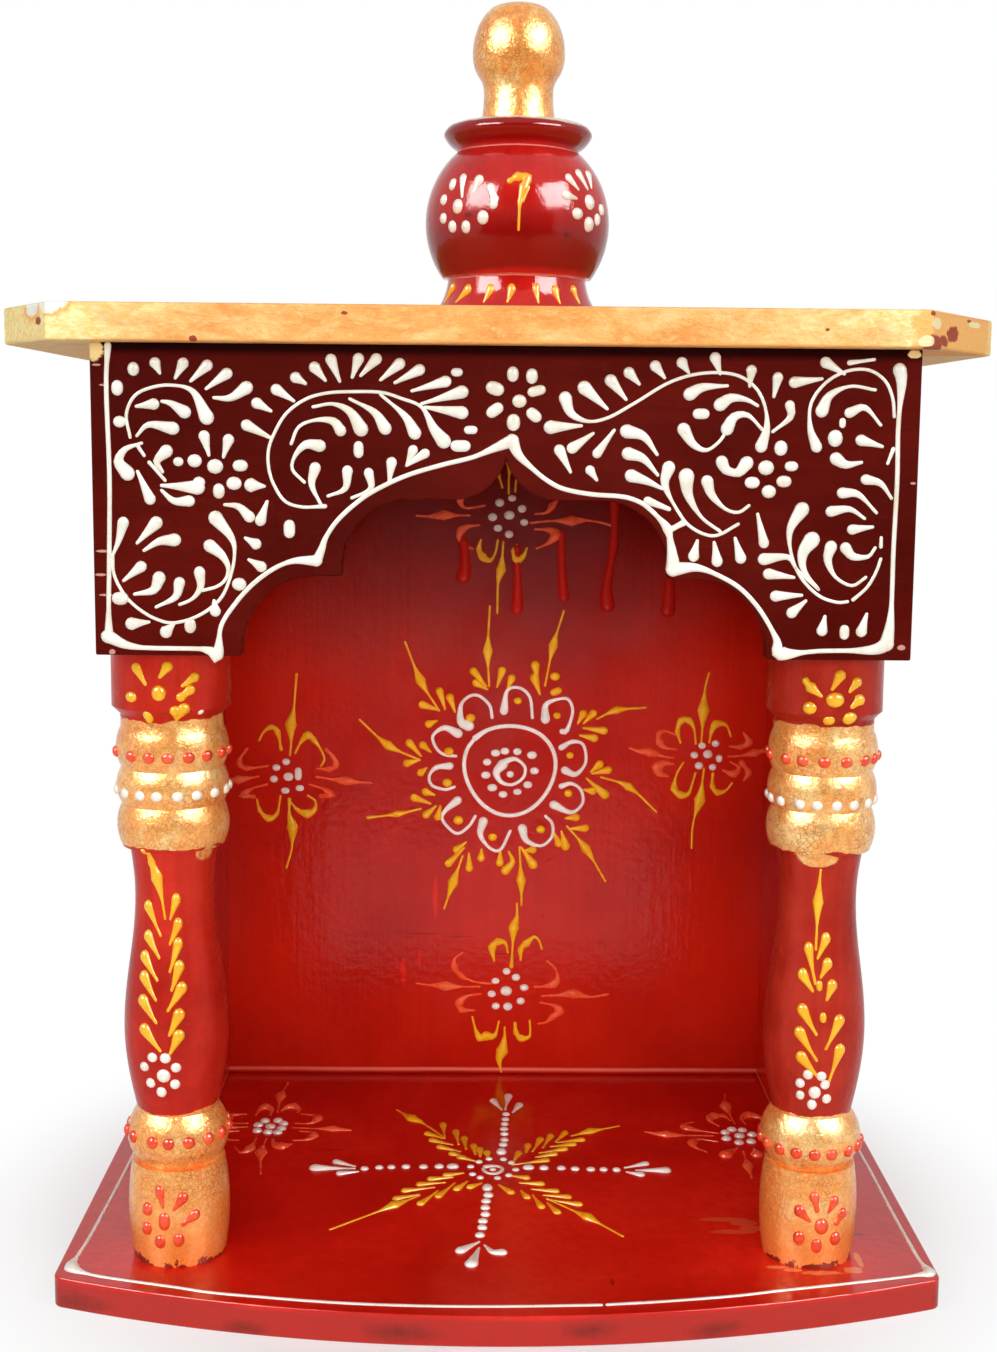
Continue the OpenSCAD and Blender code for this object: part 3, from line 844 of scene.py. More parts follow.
# arch panel: cream scrolls and flowers between hand-drawn lines
panelScrolls = [
    # left end, upper scroll
    [(-88, 279.5, 4.5), (-92, 287), (-98, 288.7), (-104, 288), (-109, 285.5), (-111.5, 280),
     (-110.5, 273.5)], [(-94.5, 281, 4), (-98.5, 283.5), (-101, 284)],
    [(-103.5, 283.2), (-108.5, 282.5, 1)], [(-98, 276.2, 4), (-105, 277.2), (-108.5, 274)],
    (-113.5, 278, 3.5), (-114, 287.8, 3.5, 4.5), (-109.2, 293.3, 3.5, 4),
    [(-102.8, 295, 3.5), (-101.5, 292.2)], [(-94.7, 295), (-97, 290.8)],
    [(-87.7, 294.5), (-92.5, 290)], [(-82, 292.2), (-88, 287.8)],
    [(-76.3, 288.2, 4), (-81, 285.2), (-85.8, 285.2)], [(-73.2, 283.7), (-69.2, 281.5)],
    [(-76.3, 277.3), (-69, 273.5)],
    [(-111.5, 263, 4.5), (-114, 266.5), (-112, 270), (-107.2, 271.8)],
    [(-108.5, 271.2, 1.2), (-106.5, 268.2)], [(-105, 266.2, 1.2), (-100.5, 261)],
    [(-100, 269.5, 4), (-102.8, 266.5), (-101.2, 263.5)], [(-105, 255.5, 3.5), (-108.5, 263.5)],
    [(-91, 259, 4.5), (-101.5, 259.5)], [(-93.5, 255), (-98, 255), (-101.5, 258)],
    # left flower
    (-85.7, 265.2, 4.5), [(-88.8, 274), (-87.5, 268.5)], [(-81.7, 273), (-83.2, 268)],
    (-78.3, 265.5, 4.5, 3.5), (-91.7, 266.8, 4), (-96.5, 266.5, 2.8), (-90.5, 260.5, 3.4),
    (-84.7, 258, 3.5, 4.5), (-80.2, 260.3, 4.5, 4), [(-75, 259.8, 4.4), (-71.3, 259.5)],
    [(-75.8, 250.5, 3.5), (-79, 253.5), (-83, 254)], [(-72.5, 249.5), (-70.5, 255)],
    (-64, 247, 3.5, 5.5), [(-74, 242.5), (-77, 244.2)], [(-72.5, 235.8, 3.5), (-76, 237.8)],
    (-79, 230.5, 4),
    # left end, lower scroll
    [(-85.7, 250, 4.5), (-81, 244), (-80.3, 239), (-81.5, 233), (-84, 227), (-88, 223),
     (-93, 220.2), (-99, 218.8), (-104, 220), (-109, 223), (-113, 227), (-116, 233),
     (-116.3, 239)],
    [(-87.5, 241.8, 4), (-84, 239), (-82.2, 235.5), (-83, 232), (-85.5, 229.8), (-90, 228.5)],
    [(-90.7, 234, 3.5), (-90.5, 229.5), (-93, 226), (-96.7, 224.3)],
    [(-96.7, 230.8, 3.5), (-98, 226.5), (-103.7, 223.5)],
    [(-102.7, 232.2, 4), (-104.5, 228.5), (-110, 227.3)], [(-108, 235.5, 3.5), (-113.2, 231.3)],
    [(-98, 243.5, 4), (-102.5, 243), (-107, 240.3)], [(-103.3, 248.5, 4), (-109, 242.5)],
    [(-113, 248.5, 3.5), (-114.5, 243), (-116.2, 239)], (-114.3, 226, 5, 4),
    [(-111, 218.5, 4), (-106, 219)], [(-100.8, 216.2, 4), (-98.5, 218.5)], (-93.7, 218, 3.5, 4.5),
    [(-86.2, 222.5, 3.5), (-86.5, 225.5)],
    # big left scroll
    [(-53.5, 253.8, 1.4), (-60, 253.5), (-65, 255), (-68, 259), (-69.8, 264), (-70, 270),
     (-68, 275.5), (-64.5, 281), (-59, 285), (-53, 286.8), (-46, 287.3), (-37, 287.2),
     (-31, 285.5), (-25, 283), (-21.5, 277), (-18.5, 273.2, 4.5)], [(-13.2, 287.5, 4), (-25, 284)],
    [(-13.2, 281.5, 4), (-24, 283)], [(-18, 290.5, 3.5), (-27.8, 287.7)],
    [(-61.8, 291.2), (-59, 289.5)], [(-56.3, 294.2), (-53.2, 290.5)],
    [(-51.5, 296.5), (-49, 290.3)], [(-43.5, 296.8), (-45.3, 291.5)],
    [(-38.3, 296.8), (-42.8, 292)], [(-31.5, 295.5), (-37, 290.8)], [(-25.7, 293.8), (-32.8, 290)],
    (-14.7, 293.2, 3.5, 2.5), [(-67.5, 287.7), (-62.5, 284.5)],
    [(-42.8, 276.5, 4.5), (-46, 281.5), (-51, 283.7), (-56.8, 282.8)],
    [(-35.7, 276.8, 4), (-39, 281.5), (-46, 285.2)], [(-27, 275.5, 4), (-30, 280.5), (-37, 286.5)],
    [(-48.8, 276, 3.5), (-51, 278.7), (-56, 279), (-61, 277), (-63.3, 272)],
    [(-55, 271.5, 3.8), (-59, 271.8), (-62.2, 268.5), (-63, 264.5), (-59.5, 260.8)],
    [(-56.3, 265, 3.5), (-57.3, 260), (-54.5, 254)],
    [(-46.8, 264.2, 3.3), (-47.5, 259), (-52.5, 256.8)],
    [(-40.5, 263.7, 3), (-40, 259), (-45.5, 256.3)], [(-33.8, 266.8, 3.3), (-34.5, 261)],
    (-43.5, 270.5, 3, 5), [(-27.5, 270.5, 3), (-28.5, 268), (-29.3, 266)],
    [(-24, 269.5, 3), (-29.3, 266)], (-10.5, 276.5, 4, 2.5), (-13.5, 271.8, 6, 3.5),
    # flower over the arch's tip
    (3.7, 285, 4), (1.7, 292.8, 3.5, 4.5), (7.3, 292.3, 3.5, 4.5), (8.7, 288, 5.5, 3, 15),
    (8, 281, 5, 3.5, -40), (2, 278.8, 4, 5), (-3.5, 282.3, 5.5, 3.5, 35),
    (-3.5, 288.6, 5.5, 4, -20),
    # right vine
    [(17.2, 286, 4), (19, 281.5), (24, 279.3), (30, 280.5), (38, 285), (47, 290.5), (55, 293.2),
     (63, 293.8), (69, 292.5), (73.5, 289), (76, 284), (76.7, 278), (75.2, 272.5, 3.8)],
    [(22.8, 289, 4.3), (29.5, 283)], [(30.5, 291.2, 3.8), (35, 285.8)],
    [(35.8, 293.5), (38.8, 290.3)], [(43.5, 295.5), (46.2, 292.2)], [(51.3, 296.5), (53.2, 293.8)],
    [(61, 298), (62.5, 293.5)], [(71.7, 294.5, 3.3), (71.3, 290)],
    [(79.5, 292.5, 3.3), (78.5, 287)], [(84.5, 291.2, 3.5), (92.5, 292.3)],
    [(83.3, 284.5, 3), (83.5, 281), (78.5, 276.8)], [(53.8, 287.5, 4), (57.5, 289.5), (64.7, 290)],
    [(62.8, 284.5, 4), (66, 286.5), (70.5, 286), (73.8, 284.3)], (57.2, 281.8, 5, 3.2),
    [(65, 277.5, 4), (67, 281), (71, 281.5), (75.5, 277.2)],
    [(52.2, 277.2, 4), (55, 273), (59, 271.2), (63, 274), (65, 277.5)],
    [(13, 277.5, 4.2), (22, 278)], [(19.5, 271.5), (25.5, 275.8)],
    [(15.7, 270.8, 3.5), (19, 264.5)], [(26.8, 270, 3), (31.7, 276.8)],
    [(24.8, 265, 3), (26.8, 262.2)], [(35.5, 276.5, 4.3), (40.5, 275), (44.5, 269.8)],
    [(36, 270, 4), (40.5, 268.5), (44.8, 263.8)], [(37, 263.5, 4), (41.5, 262), (46.2, 259.8)],
    [(48, 266, 4), (47, 261), (50.5, 254), (55, 248.5), (62, 246), (69, 249.5)],
    [(53.3, 263.5, 4.8), (54, 258), (58, 251.5), (63.7, 247.3)],
    [(59.5, 262, 3.8), (61, 258), (65, 254), (69, 253), (72, 255)],
    # right flower
    (76.8, 266.2, 4.5), [(71, 267.5, 4.2), (68.5, 264.7), (65, 265.5), (63.7, 267.8, 3.8)],
    (81, 272, 4, 4.5), (84.3, 266.7, 4, 3), (82.2, 262.2, 4.5, 3.5), (77.8, 259.2, 4),
    (72.8, 261.8, 4.5, 3.5), [(76.8, 244, 3.2), (74.7, 252.5)], [(56, 240, 3.5), (57, 244.5)],
    [(63, 238.5), (62, 244)], [(70, 239.5), (68.2, 245.3)],
    [(77, 239.2, 3.8), (84, 239.8), (87, 236), (93.5, 230.3)], [(78.5, 234.8, 3.5), (86, 233.8)],
    [(80.8, 228.2, 3.5), (88.5, 228.5)], [(85.8, 223.3, 3.5), (89.8, 226.8)],
    [(95, 218), (95.7, 222.2)], (101.7, 217.5, 3, 4.5), [(106.8, 217.8), (108.2, 223)],
    # right end, lower scroll
    [(87.8, 254, 4.5), (84.5, 248), (85, 241), (88, 234), (93.5, 228.5), (99, 226.5),
     (102.3, 226.7)], [(104, 227.3, 1.2), (108, 231), (110.5, 235.5), (111.8, 239.5)],
    [(91, 245, 5), (88.5, 241), (89, 236), (93.5, 230.3)],
    [(96.8, 243, 3.8), (96, 239), (98.5, 234), (103.5, 231.5), (107.5, 234)],
    [(101.2, 242.7, 3.5), (103.5, 240.2), (108, 240.2), (110, 242.8)],
    [(103, 248.2, 3.2), (109, 249)], [(96.5, 253.5, 3.4), (102, 254.2), (106.5, 251.5)],
    [(99.7, 259, 3.4), (104.5, 258.5), (110, 253.2)],
    [(106.5, 263, 3.2), (111, 261.8), (114.3, 257.5)], [(111.7, 243.2, 1.2), (111.7, 245.8)],
    # right end, upper ring
    [(91.5, 272.5, 3.5), (89.5, 278), (89.5, 285), (93.5, 291), (99.5, 294.5), (106, 295),
     (111, 292), (113.5, 287), (114.2, 281.5)], [(93.5, 297, 3.5), (99, 293.8)],
    [(100.5, 297, 1.6), (107.7, 298)], [(92.8, 283, 4), (95, 287.5), (101, 290.2), (108.3, 289.2)],
    [(101, 282.5, 3.2), (105.5, 284), (110.3, 279)], (99, 279.5, 2, 3), (97, 275, 4.5, 5),
    [(104.7, 274.5, 3.5), (111, 272.7)], [(97.5, 269, 4), (100.5, 267.3), (105, 268)],
    [(114.3, 272, 1.3), (112.8, 267.8)],
]
panelLines = [
    [(-116.5, 300, 2.2), (-117.2, 288), (-116.8, 263), (-117.2, 243), (-117.8, 223),
     (-117.9, 216, 2.6)],
    [(-118.2, 214.6, 4.2), (-110, 211.5), (-90, 211), (-85.8, 209.5, 4), (-84.5, 218), (-80, 225),
     (-75, 230.5), (-69, 235), (-63, 237.5), (-56, 237.7, 3.5)],
    [(-56, 237.5, 3.2), (-54.5, 241), (-53, 245), (-49, 250.5), (-42, 256.5), (-35, 260.5),
     (-28, 263.5), (-19, 266.2), (-10, 268.5), (-4, 271), (1.7, 273.5, 4)],
    [(1.7, 273.5, 4), (3.5, 269.5), (7, 266), (12, 262), (17, 259.5), (25, 258), (33, 257.5),
     (37, 256.8), (41, 255), (45, 251.5), (48, 248, 3), (49, 244), (49.8, 239), (50, 236, 4.5)],
    [(52.8, 249.8, 2), (48.5, 247.5, 2)], [(42, 256.2, 2.6), (48.3, 253.8)],
    [(50, 236, 4.5), (57, 236.5), (64, 234), (70, 230.5), (75, 225.5), (78.5, 220.5),
     (81.5, 215, 2.2), (83, 211, 4.6), (95, 211.8), (110, 212.2), (114.5, 214, 4.5)],
    [(114.5, 214, 4.5), (115.5, 223), (115.5, 243), (115.8, 263), (115.5, 278), (116, 291),
     (115.3, 295, 4.2)],
]

paintStrokes("arch_panel_scrolls", panelScrolls, onPanel, creamPaint, "cream_relief_paint",
             head=3.5, line=1.0)
paintStrokes("arch_panel_lines", panelLines, onPanel, creamPaint, "cream_relief_paint",
             "arch_border", head=1.5, line=1.4)
print("arch panel painted")

# back panel: a cream mandala with yellow rays, and four flowers round it
mandalaCream = [
    (5.9, 137.6, 2.8),
    [(2.8, 141.7, 4.4), (0.2, 138.3), (2.2, 134.4), (6.7, 133.3), (11.1, 136.1), (11.9, 140.6),
     (8.3, 143.9), (5, 143.4), (3, 142.2, 3)], (-0.2, 146.4, 3.8, 3), (3.6, 147.2, 3.6, 3),
    (8.7, 147, 3.4, 3), (14.7, 145.6, 4, 3.2), (15.8, 139.1, 3.6, 3), (13.1, 133.3, 3.6, 3),
    (8.9, 130.3, 3.4, 2.6), (3, 129.2, 3.6, 2.8), (-1.4, 132, 4, 3.2), (-4.1, 137.2, 3.8, 3),
    (-3.6, 142.6, 3.4, 3),
    [(3.1, 163.9, 3.6), (4.4, 172.2), (9.4, 173.3), (13.6, 169.4), (14.7, 161.1)],
    [(20, 160.6, 4), (20, 166.1), (23.3, 168.3), (28.9, 168.9), (31.1, 163.9), (28.9, 156.1),
     (27, 155.5, 2.4)],
    [(26.7, 148.9, 2.6), (31.1, 151.3, 2), (35.6, 150), (36.7, 142.8), (32.8, 137.8),
     (28.3, 139.4, 3.4)],
    [(23.9, 125, 3.8), (31.1, 121.9), (35.6, 125.6), (35, 131.1), (31.1, 133.9),
     (26.9, 132.8, 2.4)],
    [(11.1, 115, 4), (12.8, 110), (18.9, 107.8), (23.3, 111.7), (23.3, 117.2), (20.6, 120.2)],
    [(-5, 117.8, 4), (-6.1, 112.2), (-2.2, 106.7), (2.2, 106.1), (6.1, 113.9)],
    [(-15.6, 126.6, 3.6), (-20.6, 122.2), (-21.7, 118.3), (-16.1, 112.8), (-11.1, 115.6),
     (-8.3, 120)],
    [(-18.9, 140.9, 3.2), (-24.4, 140.2, 2.2), (-27.2, 136.7), (-26.1, 132.8), (-20.6, 131.1),
     (-17, 132.2)],
    [(-15.6, 154.4, 4), (-21.1, 156.7, 2.4), (-25.8, 153.3), (-24.4, 148.3), (-21.1, 145.6),
     (-16.4, 145)],
    [(-11.3, 157.6, 4.6), (-14.4, 159.4, 2.6), (-14.4, 166.1), (-11.1, 169.7), (-7.2, 170),
     (-2.8, 166.1), (-1.7, 161.1)],
]
mandalaRing = {"centre": (5.7, 139.7), "radius": 18.6, "line": 1.7, "wobble": 0.35}
# each ray: far tip, swelling, near end, then its leaves from head to tail
mandalaRays = [
    [(-3, 206.5, 0.8), (-3.7, 188.3, 4.3), (-3, 174)], [(-9.4, 180), (-4.2, 174)],
    [(-8.3, 175.2), (-3.7, 172.6)], [(2.2, 180.3), (0.2, 173.7)], [(6.1, 177.2), (4.4, 172.8)],
    [(-37.2, 191.7, 0.8), (-30.9, 176.1, 4.4), (-23.3, 163.7)], [(-23.1, 171.7), (-20.9, 164.4)],
    [(-18.9, 169.2), (-16.9, 163.3)], [(-30, 166.1), (-23.3, 163.9)],
    [(-27.4, 158.2), (-24.2, 159.6)], [(-55.6, 159.7, 0.8), (-44, 149.3, 4), (-31.1, 143.3)],
    [(-35.3, 150.3), (-30.6, 145)], [(-29.8, 149.4), (-26.7, 146.7)],
    [(-36.3, 141.9), (-31.4, 143.3)], [(-30.6, 138.1), (-28.3, 140)],
    [(-52.2, 119.2, 1.6), (-40, 120.8, 3), (-30.6, 123)], [(-33.3, 127.6), (-26.7, 125.2)],
    [(-28.6, 130.1), (-25, 128.8)], [(-28.3, 120.6), (-24.4, 124.2)],
    [(-23.6, 119.8), (-22.6, 124.2)], [(-20.8, 81.1, 1), (-17.2, 92.2, 4.6), (-13.3, 103.3)],
    [(-15.8, 106), (-12, 109.1)], [(-19.1, 100.2), (-12.8, 106.7)],
    [(-10.6, 98.3), (-10.8, 104.4)], [(-5.8, 102.6), (-5.6, 106.1)],
    [(11.1, 82.8, 0.8), (10.8, 93.3, 4.3), (10, 107.2)], [(1.9, 100.6), (2.2, 105.6)],
    [(4.4, 97.4, 4), (7.2, 101.1), (5.6, 105.3)], [(15.6, 100, 4.2), (10.6, 107.2)],
    [(15.4, 106.1), (12.2, 105.6)], [(45.6, 93.1, 0.8), (37.4, 106.7, 4.2), (29.4, 116.1)],
    [(36.9, 115.3), (30.6, 115)], [(28.9, 107.8, 4), (27.2, 113.9)],
    [(26.1, 108.9), (24.1, 113.3)], [(33, 119.8), (28.9, 119.4)],
    [(66.1, 122.4, 0.8), (54.4, 132.8, 3.6), (43.1, 136.7)], [(44.7, 129.4, 4), (37.2, 136.1)],
    [(39.6, 130.8), (36.2, 131.4)], [(42.4, 142, 3.6), (38.9, 138.9)],
    [(46, 139.6), (39.4, 138.1)], [(60.8, 165.6, 0.8), (49, 164.4, 3.4), (41.1, 160.8)],
    [(35.4, 162.8), (33.3, 158.9)], [(39.4, 163), (35.6, 158.9)], [(43.9, 155.9), (35.6, 157)],
    [(40, 152.8), (34.2, 153.9)], [(26.9, 204.8, 0.8), (22.8, 190.6, 4), (19.7, 174.4)],
    [(15.6, 182.6, 3.8), (16.6, 176)], [(15.4, 177.4, 4), (17.6, 170.8)], (23.7, 178.1, 4, 3.5),
    (24.2, 171.9, 5, 3, 20), (8.7, 168, 3), (24.7, 162, 2.8), (30.2, 145.6, 2.8),
    (29.8, 129.8, 3.2), (18.6, 114.7, 3.4), (-1.1, 111.3, 3.4), (-15.2, 118.3, 3.8),
    (-19.8, 133.9, 3.6), (-19.2, 146.9, 3.6), (-10.5, 160.8, 3.6),
]
# four flowers round the mandala
sideFlowers = {
    "cream": [
        (-85.6, 142.2, 3.2, 2.8), (-89.6, 139.8, 3.2, 2.8), (-90.6, 135, 3),
        (-86, 130.2, 3.4, 2.6), (-80.1, 131.3, 3.4, 2.6), (-80.7, 137.2, 3, 5.4),
        (-84.7, 136, 4, 3.6), (84.2, 150, 2.8), (89.7, 150.9, 2.9), (91.3, 144.7, 2.8, 3.2),
        (88.7, 141.1, 2.8), (83.1, 141.7, 3.2), (81.1, 146.1, 3.2, 3), (86.6, 146.5, 3.6),
        (0.6, 248.2, 3.4), (5.6, 250, 3.2, 2.6), (9.6, 245.8, 3.2), (10.5, 240.4, 3.2, 2.8),
        (4.5, 235.6, 3.2), (0, 238, 3.4, 2.8), (-2.2, 242.4, 3.4), (4.5, 243.2, 4.2, 3.6),
        (5.2, 54.4, 3), (9.1, 51.9, 3.6, 3), (12.6, 47.5, 3.6, 3), (11.2, 41.7, 3.4, 3),
        (5.8, 39.3, 3.8, 3.6), (0.8, 39.5, 3.4, 3), (-0.9, 44.7, 3.4, 3), (0.6, 50.3, 3.2, 2.6),
        (5.1, 46, 4.8, 4.2),
    ],
    "yellow": [
        # left
        [(-81.1, 178.2, 1.2), (-81.8, 170), (-82.5, 163), (-83.6, 157.5, 5), (-83.5, 151),
         (-84, 145)],
        [(-96.5, 151, 0.8), (-94.6, 154.5), (-91.5, 156.5, 2.4), (-89, 154.5, 2.8),
         (-87.6, 147.4, 1.6)],
        [(-81.9, 145.8, 0.8), (-79.5, 150.5), (-76.8, 153.2, 3.6), (-74.4, 151.5, 2.6),
         (-71.6, 147.6), (-70, 143.5), (-71.5, 140.4)],
        [(-84.4, 126.5, 1.6), (-84.4, 120), (-83.2, 115, 5), (-83.6, 106), (-85.8, 98, 1)],
        [(-97.6, 126.5, 0.8), (-96.4, 121.8, 2), (-93, 118.6, 3.2), (-89.5, 120.5, 1.8),
         (-88, 128)],
        [(-83.8, 125.3, 0.8), (-81, 122.2, 1.8), (-77, 120.6, 3.8), (-74, 122.6, 2), (-73.8, 126),
         (-76.8, 128.2)],
        # right
        [(86.3, 180, 0.8), (84.8, 173), (84.4, 164.6, 5.2), (84.2, 158), (83.9, 151.5)],
        [(75.3, 151.2, 0.8), (74, 156, 2.4), (75.4, 160.2, 3.2), (78.6, 160.4, 3), (80.8, 157),
         (81.6, 150.8)],
        [(87.1, 151.4, 0.8), (88, 156, 2), (89.6, 159, 3.6), (93, 159), (94.6, 157.5),
         (95.8, 154)],
        [(85.2, 140.4, 0.8), (84.6, 134), (83.8, 127.4, 5), (82, 121), (81, 115), (80.9, 107.3)],
        [(76.7, 142.9, 0.8), (74, 138), (73.2, 132, 3.4), (75.8, 129.5, 3.6), (79, 130),
         (80.5, 134), (81.7, 138.6)],
        [(88.9, 138.3, 1.4), (88.9, 133, 2.4), (91, 130.6, 2.8), (94.5, 131.5), (96.8, 134.5)],
        # top, partly behind the arch
        [(-6, 253.4, 0.8), (-6.4, 257), (-4.5, 260), (-1.4, 262.4, 3.6), (0.5, 258), (1.6, 254.2)],
        [(4.2, 251.8, 0.8), (4.2, 258), (4.6, 264, 3.4), (4.2, 272)],
        [(6.8, 252.6, 0.8), (7.4, 258), (10.6, 261, 3.4), (14.5, 258), (14.8, 253)],
        [(-6.8, 233.2, 0.8), (-7.6, 229.5, 2.4), (-6, 226.4, 3.6), (-3, 225), (-1, 228),
         (0, 233.2)],
        [(7.6, 231, 1.4), (6.4, 229, 2.4), (7.8, 225.4, 3.8), (10.4, 227), (11.7, 230)],
        [(2.2, 232.5, 0.8), (1.8, 226), (1.4, 221.2, 4.2), (0.2, 216), (0, 203.8)],
        # low
        [(9.2, 83.3, 0.8), (9.2, 78), (8, 73.1, 4.6), (7.6, 66), (7.2, 56.6, 1.8)],
        [(5.6, 62.5, 0.8), (4.6, 66.5), (1.4, 67, 3.4), (-0.9, 64.6, 3.6), (0, 58.9)],
        [(11, 59.3, 0.8), (11, 64, 2.8), (13.3, 66.4, 3.4), (16.5, 69.3), (18.5, 67.6),
         (19.7, 64.2)],
        [(-8.9, 34.7, 0.8), (-7.6, 29.5), (-5.8, 25.8, 3.4), (-3, 26.6, 4.2), (0.5, 26.8),
         (2.2, 32.8)],
        [(8.9, 32, 1.4), (9.4, 28, 2.6), (11.5, 25.6, 3.2), (14.8, 26.2), (15.3, 29), (15, 33.3)],
        [(4.6, 30.3, 0.8), (4.6, 26), (3.6, 20, 5.2), (2.4, 16.5, 2.6), (3.3, 11.1)],
    ],
    "orange": [
        # left
        [(-50.9, 133.7, 0.8), (-57, 134), (-61.3, 134.4, 4.2), (-67, 135), (-73.3, 136)],
        [(-69.2, 147.3, 1.6), (-66.6, 144.5, 1.8), (-65.2, 141.2, 3), (-68, 139.2, 2.6),
         (-73, 139.4)], [(-76.1, 132.8, 0.8), (-70.5, 131), (-67.8, 128.8, 3.6), (-71.5, 128, 2)],
        [(-109, 134.4, 2.4), (-105.4, 134.6, 4), (-97, 136)],
        [(-93.4, 132.8, 0.8), (-99.6, 131), (-103, 128.4, 3.6), (-99, 127.6, 2)],
        [(-101.6, 147.3, 1.6), (-104, 144), (-104.6, 141.2, 3), (-101.8, 139.4, 2.6),
         (-93, 140.4)],
        # right
        [(54.7, 148.8, 0.8), (58, 147.6), (62.8, 147.2, 4.2), (68, 145.6), (72.6, 144.9)],
        [(73.8, 154.3, 0.8), (68.5, 156), (66.4, 154.5, 2.6), (66.8, 151, 3.2), (69.5, 149),
         (73.8, 148.4)],
        [(72.6, 142.3, 0.8), (68.5, 142.6, 2), (66, 140.8, 4.8), (67.2, 138.4, 3.4),
         (70.6, 137.2)], [(95.2, 145.6, 1), (100.5, 146), (106, 147.2, 4), (109, 148, 2)],
        [(95.8, 149.8, 0.8), (100, 149.6, 2.6), (103.4, 151.6, 3.6), (101, 155.4)],
        [(96, 143.4, 0.8), (99.5, 141), (97.6, 138.4, 3.6), (93, 139.8)],
        [(100.6, 143, 2.8), (103.6, 139, 3.4), (101.6, 135.6)],
        # top
        [(-32.6, 242.7, 0.8), (-27, 242.5), (-22, 243, 4.4), (-17, 243), (-11.4, 243)],
        [(-8.8, 253.6, 0.8), (-13, 252, 2), (-15.2, 249.4, 3.2), (-14.6, 247), (-12, 245.9),
         (-5.4, 247)],
        [(-7.4, 239.2, 0.8), (-12, 238.6), (-14.6, 237, 3.8), (-15.6, 233.5, 1.6), (-13.3, 230.8),
         (-10, 229.6)],
        [(13.1, 240.2, 0.8), (20, 241), (29.5, 241.2, 4.6), (36, 241.4), (42, 240.4),
         (45.6, 239.3)], [(15, 243.8, 0.8), (19.5, 244.4), (21.6, 247, 3.2), (24, 249.5)],
        [(15, 237.7, 0.8), (20.5, 237.4), (23.3, 235.5, 4.6), (20, 232), (15.6, 230)],
        # low
        [(-32.2, 49.1, 0.8), (-26, 48.3), (-20.2, 48, 4.6), (-14, 47.7), (-6.1, 47.8)],
        [(-13.3, 62.3, 0.8), (-16.5, 59.5), (-16.4, 56, 3.2), (-13.8, 52.6, 2.8), (-10, 50.5),
         (-5, 49.4), (-1, 49.1)],
        [(-5.6, 44.7, 0.8), (-11, 43.8), (-14.4, 40.8, 3.8), (-13.4, 37.8, 2.8), (-8.3, 37.6)],
        [(22, 58.9, 0.8), (25.5, 55.5), (26.4, 51.4, 2), (25, 49.2, 3.8), (21, 48),
         (17, 47.8, 1.4)],
        [(19.4, 41.1, 0.8), (25, 39.8), (27.4, 37.4, 4), (24.5, 35, 2.8), (22, 32.6), (18.7, 32)],
        [(20, 43.9, 0.8), (27, 44.3), (33, 45, 4.6), (40, 43.6), (47.4, 44.8, 1.2)],
    ],
}
# runs of red lacquer that dripped down the back panel
backDrips = [
    [(-13.6, 232, 4), (-13.2, 222, 4.6), (-13.8, 218.4, 6)],
    [(7.6, 230, 3), (8.2, 212, 3.6), (8, 205.8, 5.4)],
    [(25.4, 236, 3), (26, 220, 3.4), (26.8, 210.8, 4.6)],
    [(46.6, 250, 4.2), (46.6, 232, 4), (44, 214, 4.2), (44.6, 207.4, 6)],
    [(69, 228, 3.6), (69.4, 212, 3.8), (69, 205.6, 6)],
]

dripRed = coatedWood("dripRed", lacquerCoat, dict(
    redLook, colour=(0.58, 0.012, 0.005), deep=(0.42, 0.008, 0.003), pale=(0.66, 0.018, 0.008),
    gloss=0.06))
for name, strokes, colour, material, head, line in (
        ("mandala_cream", mandalaCream, "cream", innerLitCream, 3.4, 1.3),
        ("mandala_ring", ringStroke(mandalaRing), "cream", innerLitCream, 2.6, 1.7),
        ("mandala_rays", mandalaRays, "yellow", innerLitYellow, 3.4, 0.9),
        ("back_flowers_cream", sideFlowers["cream"], "cream", innerLitCream, 3.2, 0.9),
        ("back_flowers_yellow", sideFlowers["yellow"], "yellow", innerLitYellow, 1, 0.9),
        ("back_flowers_orange", sideFlowers["orange"], "orange", innerLitOrange, 1, 0.9)):
    paintStrokes(name, strokes, onBack, material, colour + "_relief_paint", head=head, line=line)
paintStrokes("back_panel_drips", backDrips, onBack, dripRed, "red_lacquered_wood", head=3, line=3)
print("back panel painted")

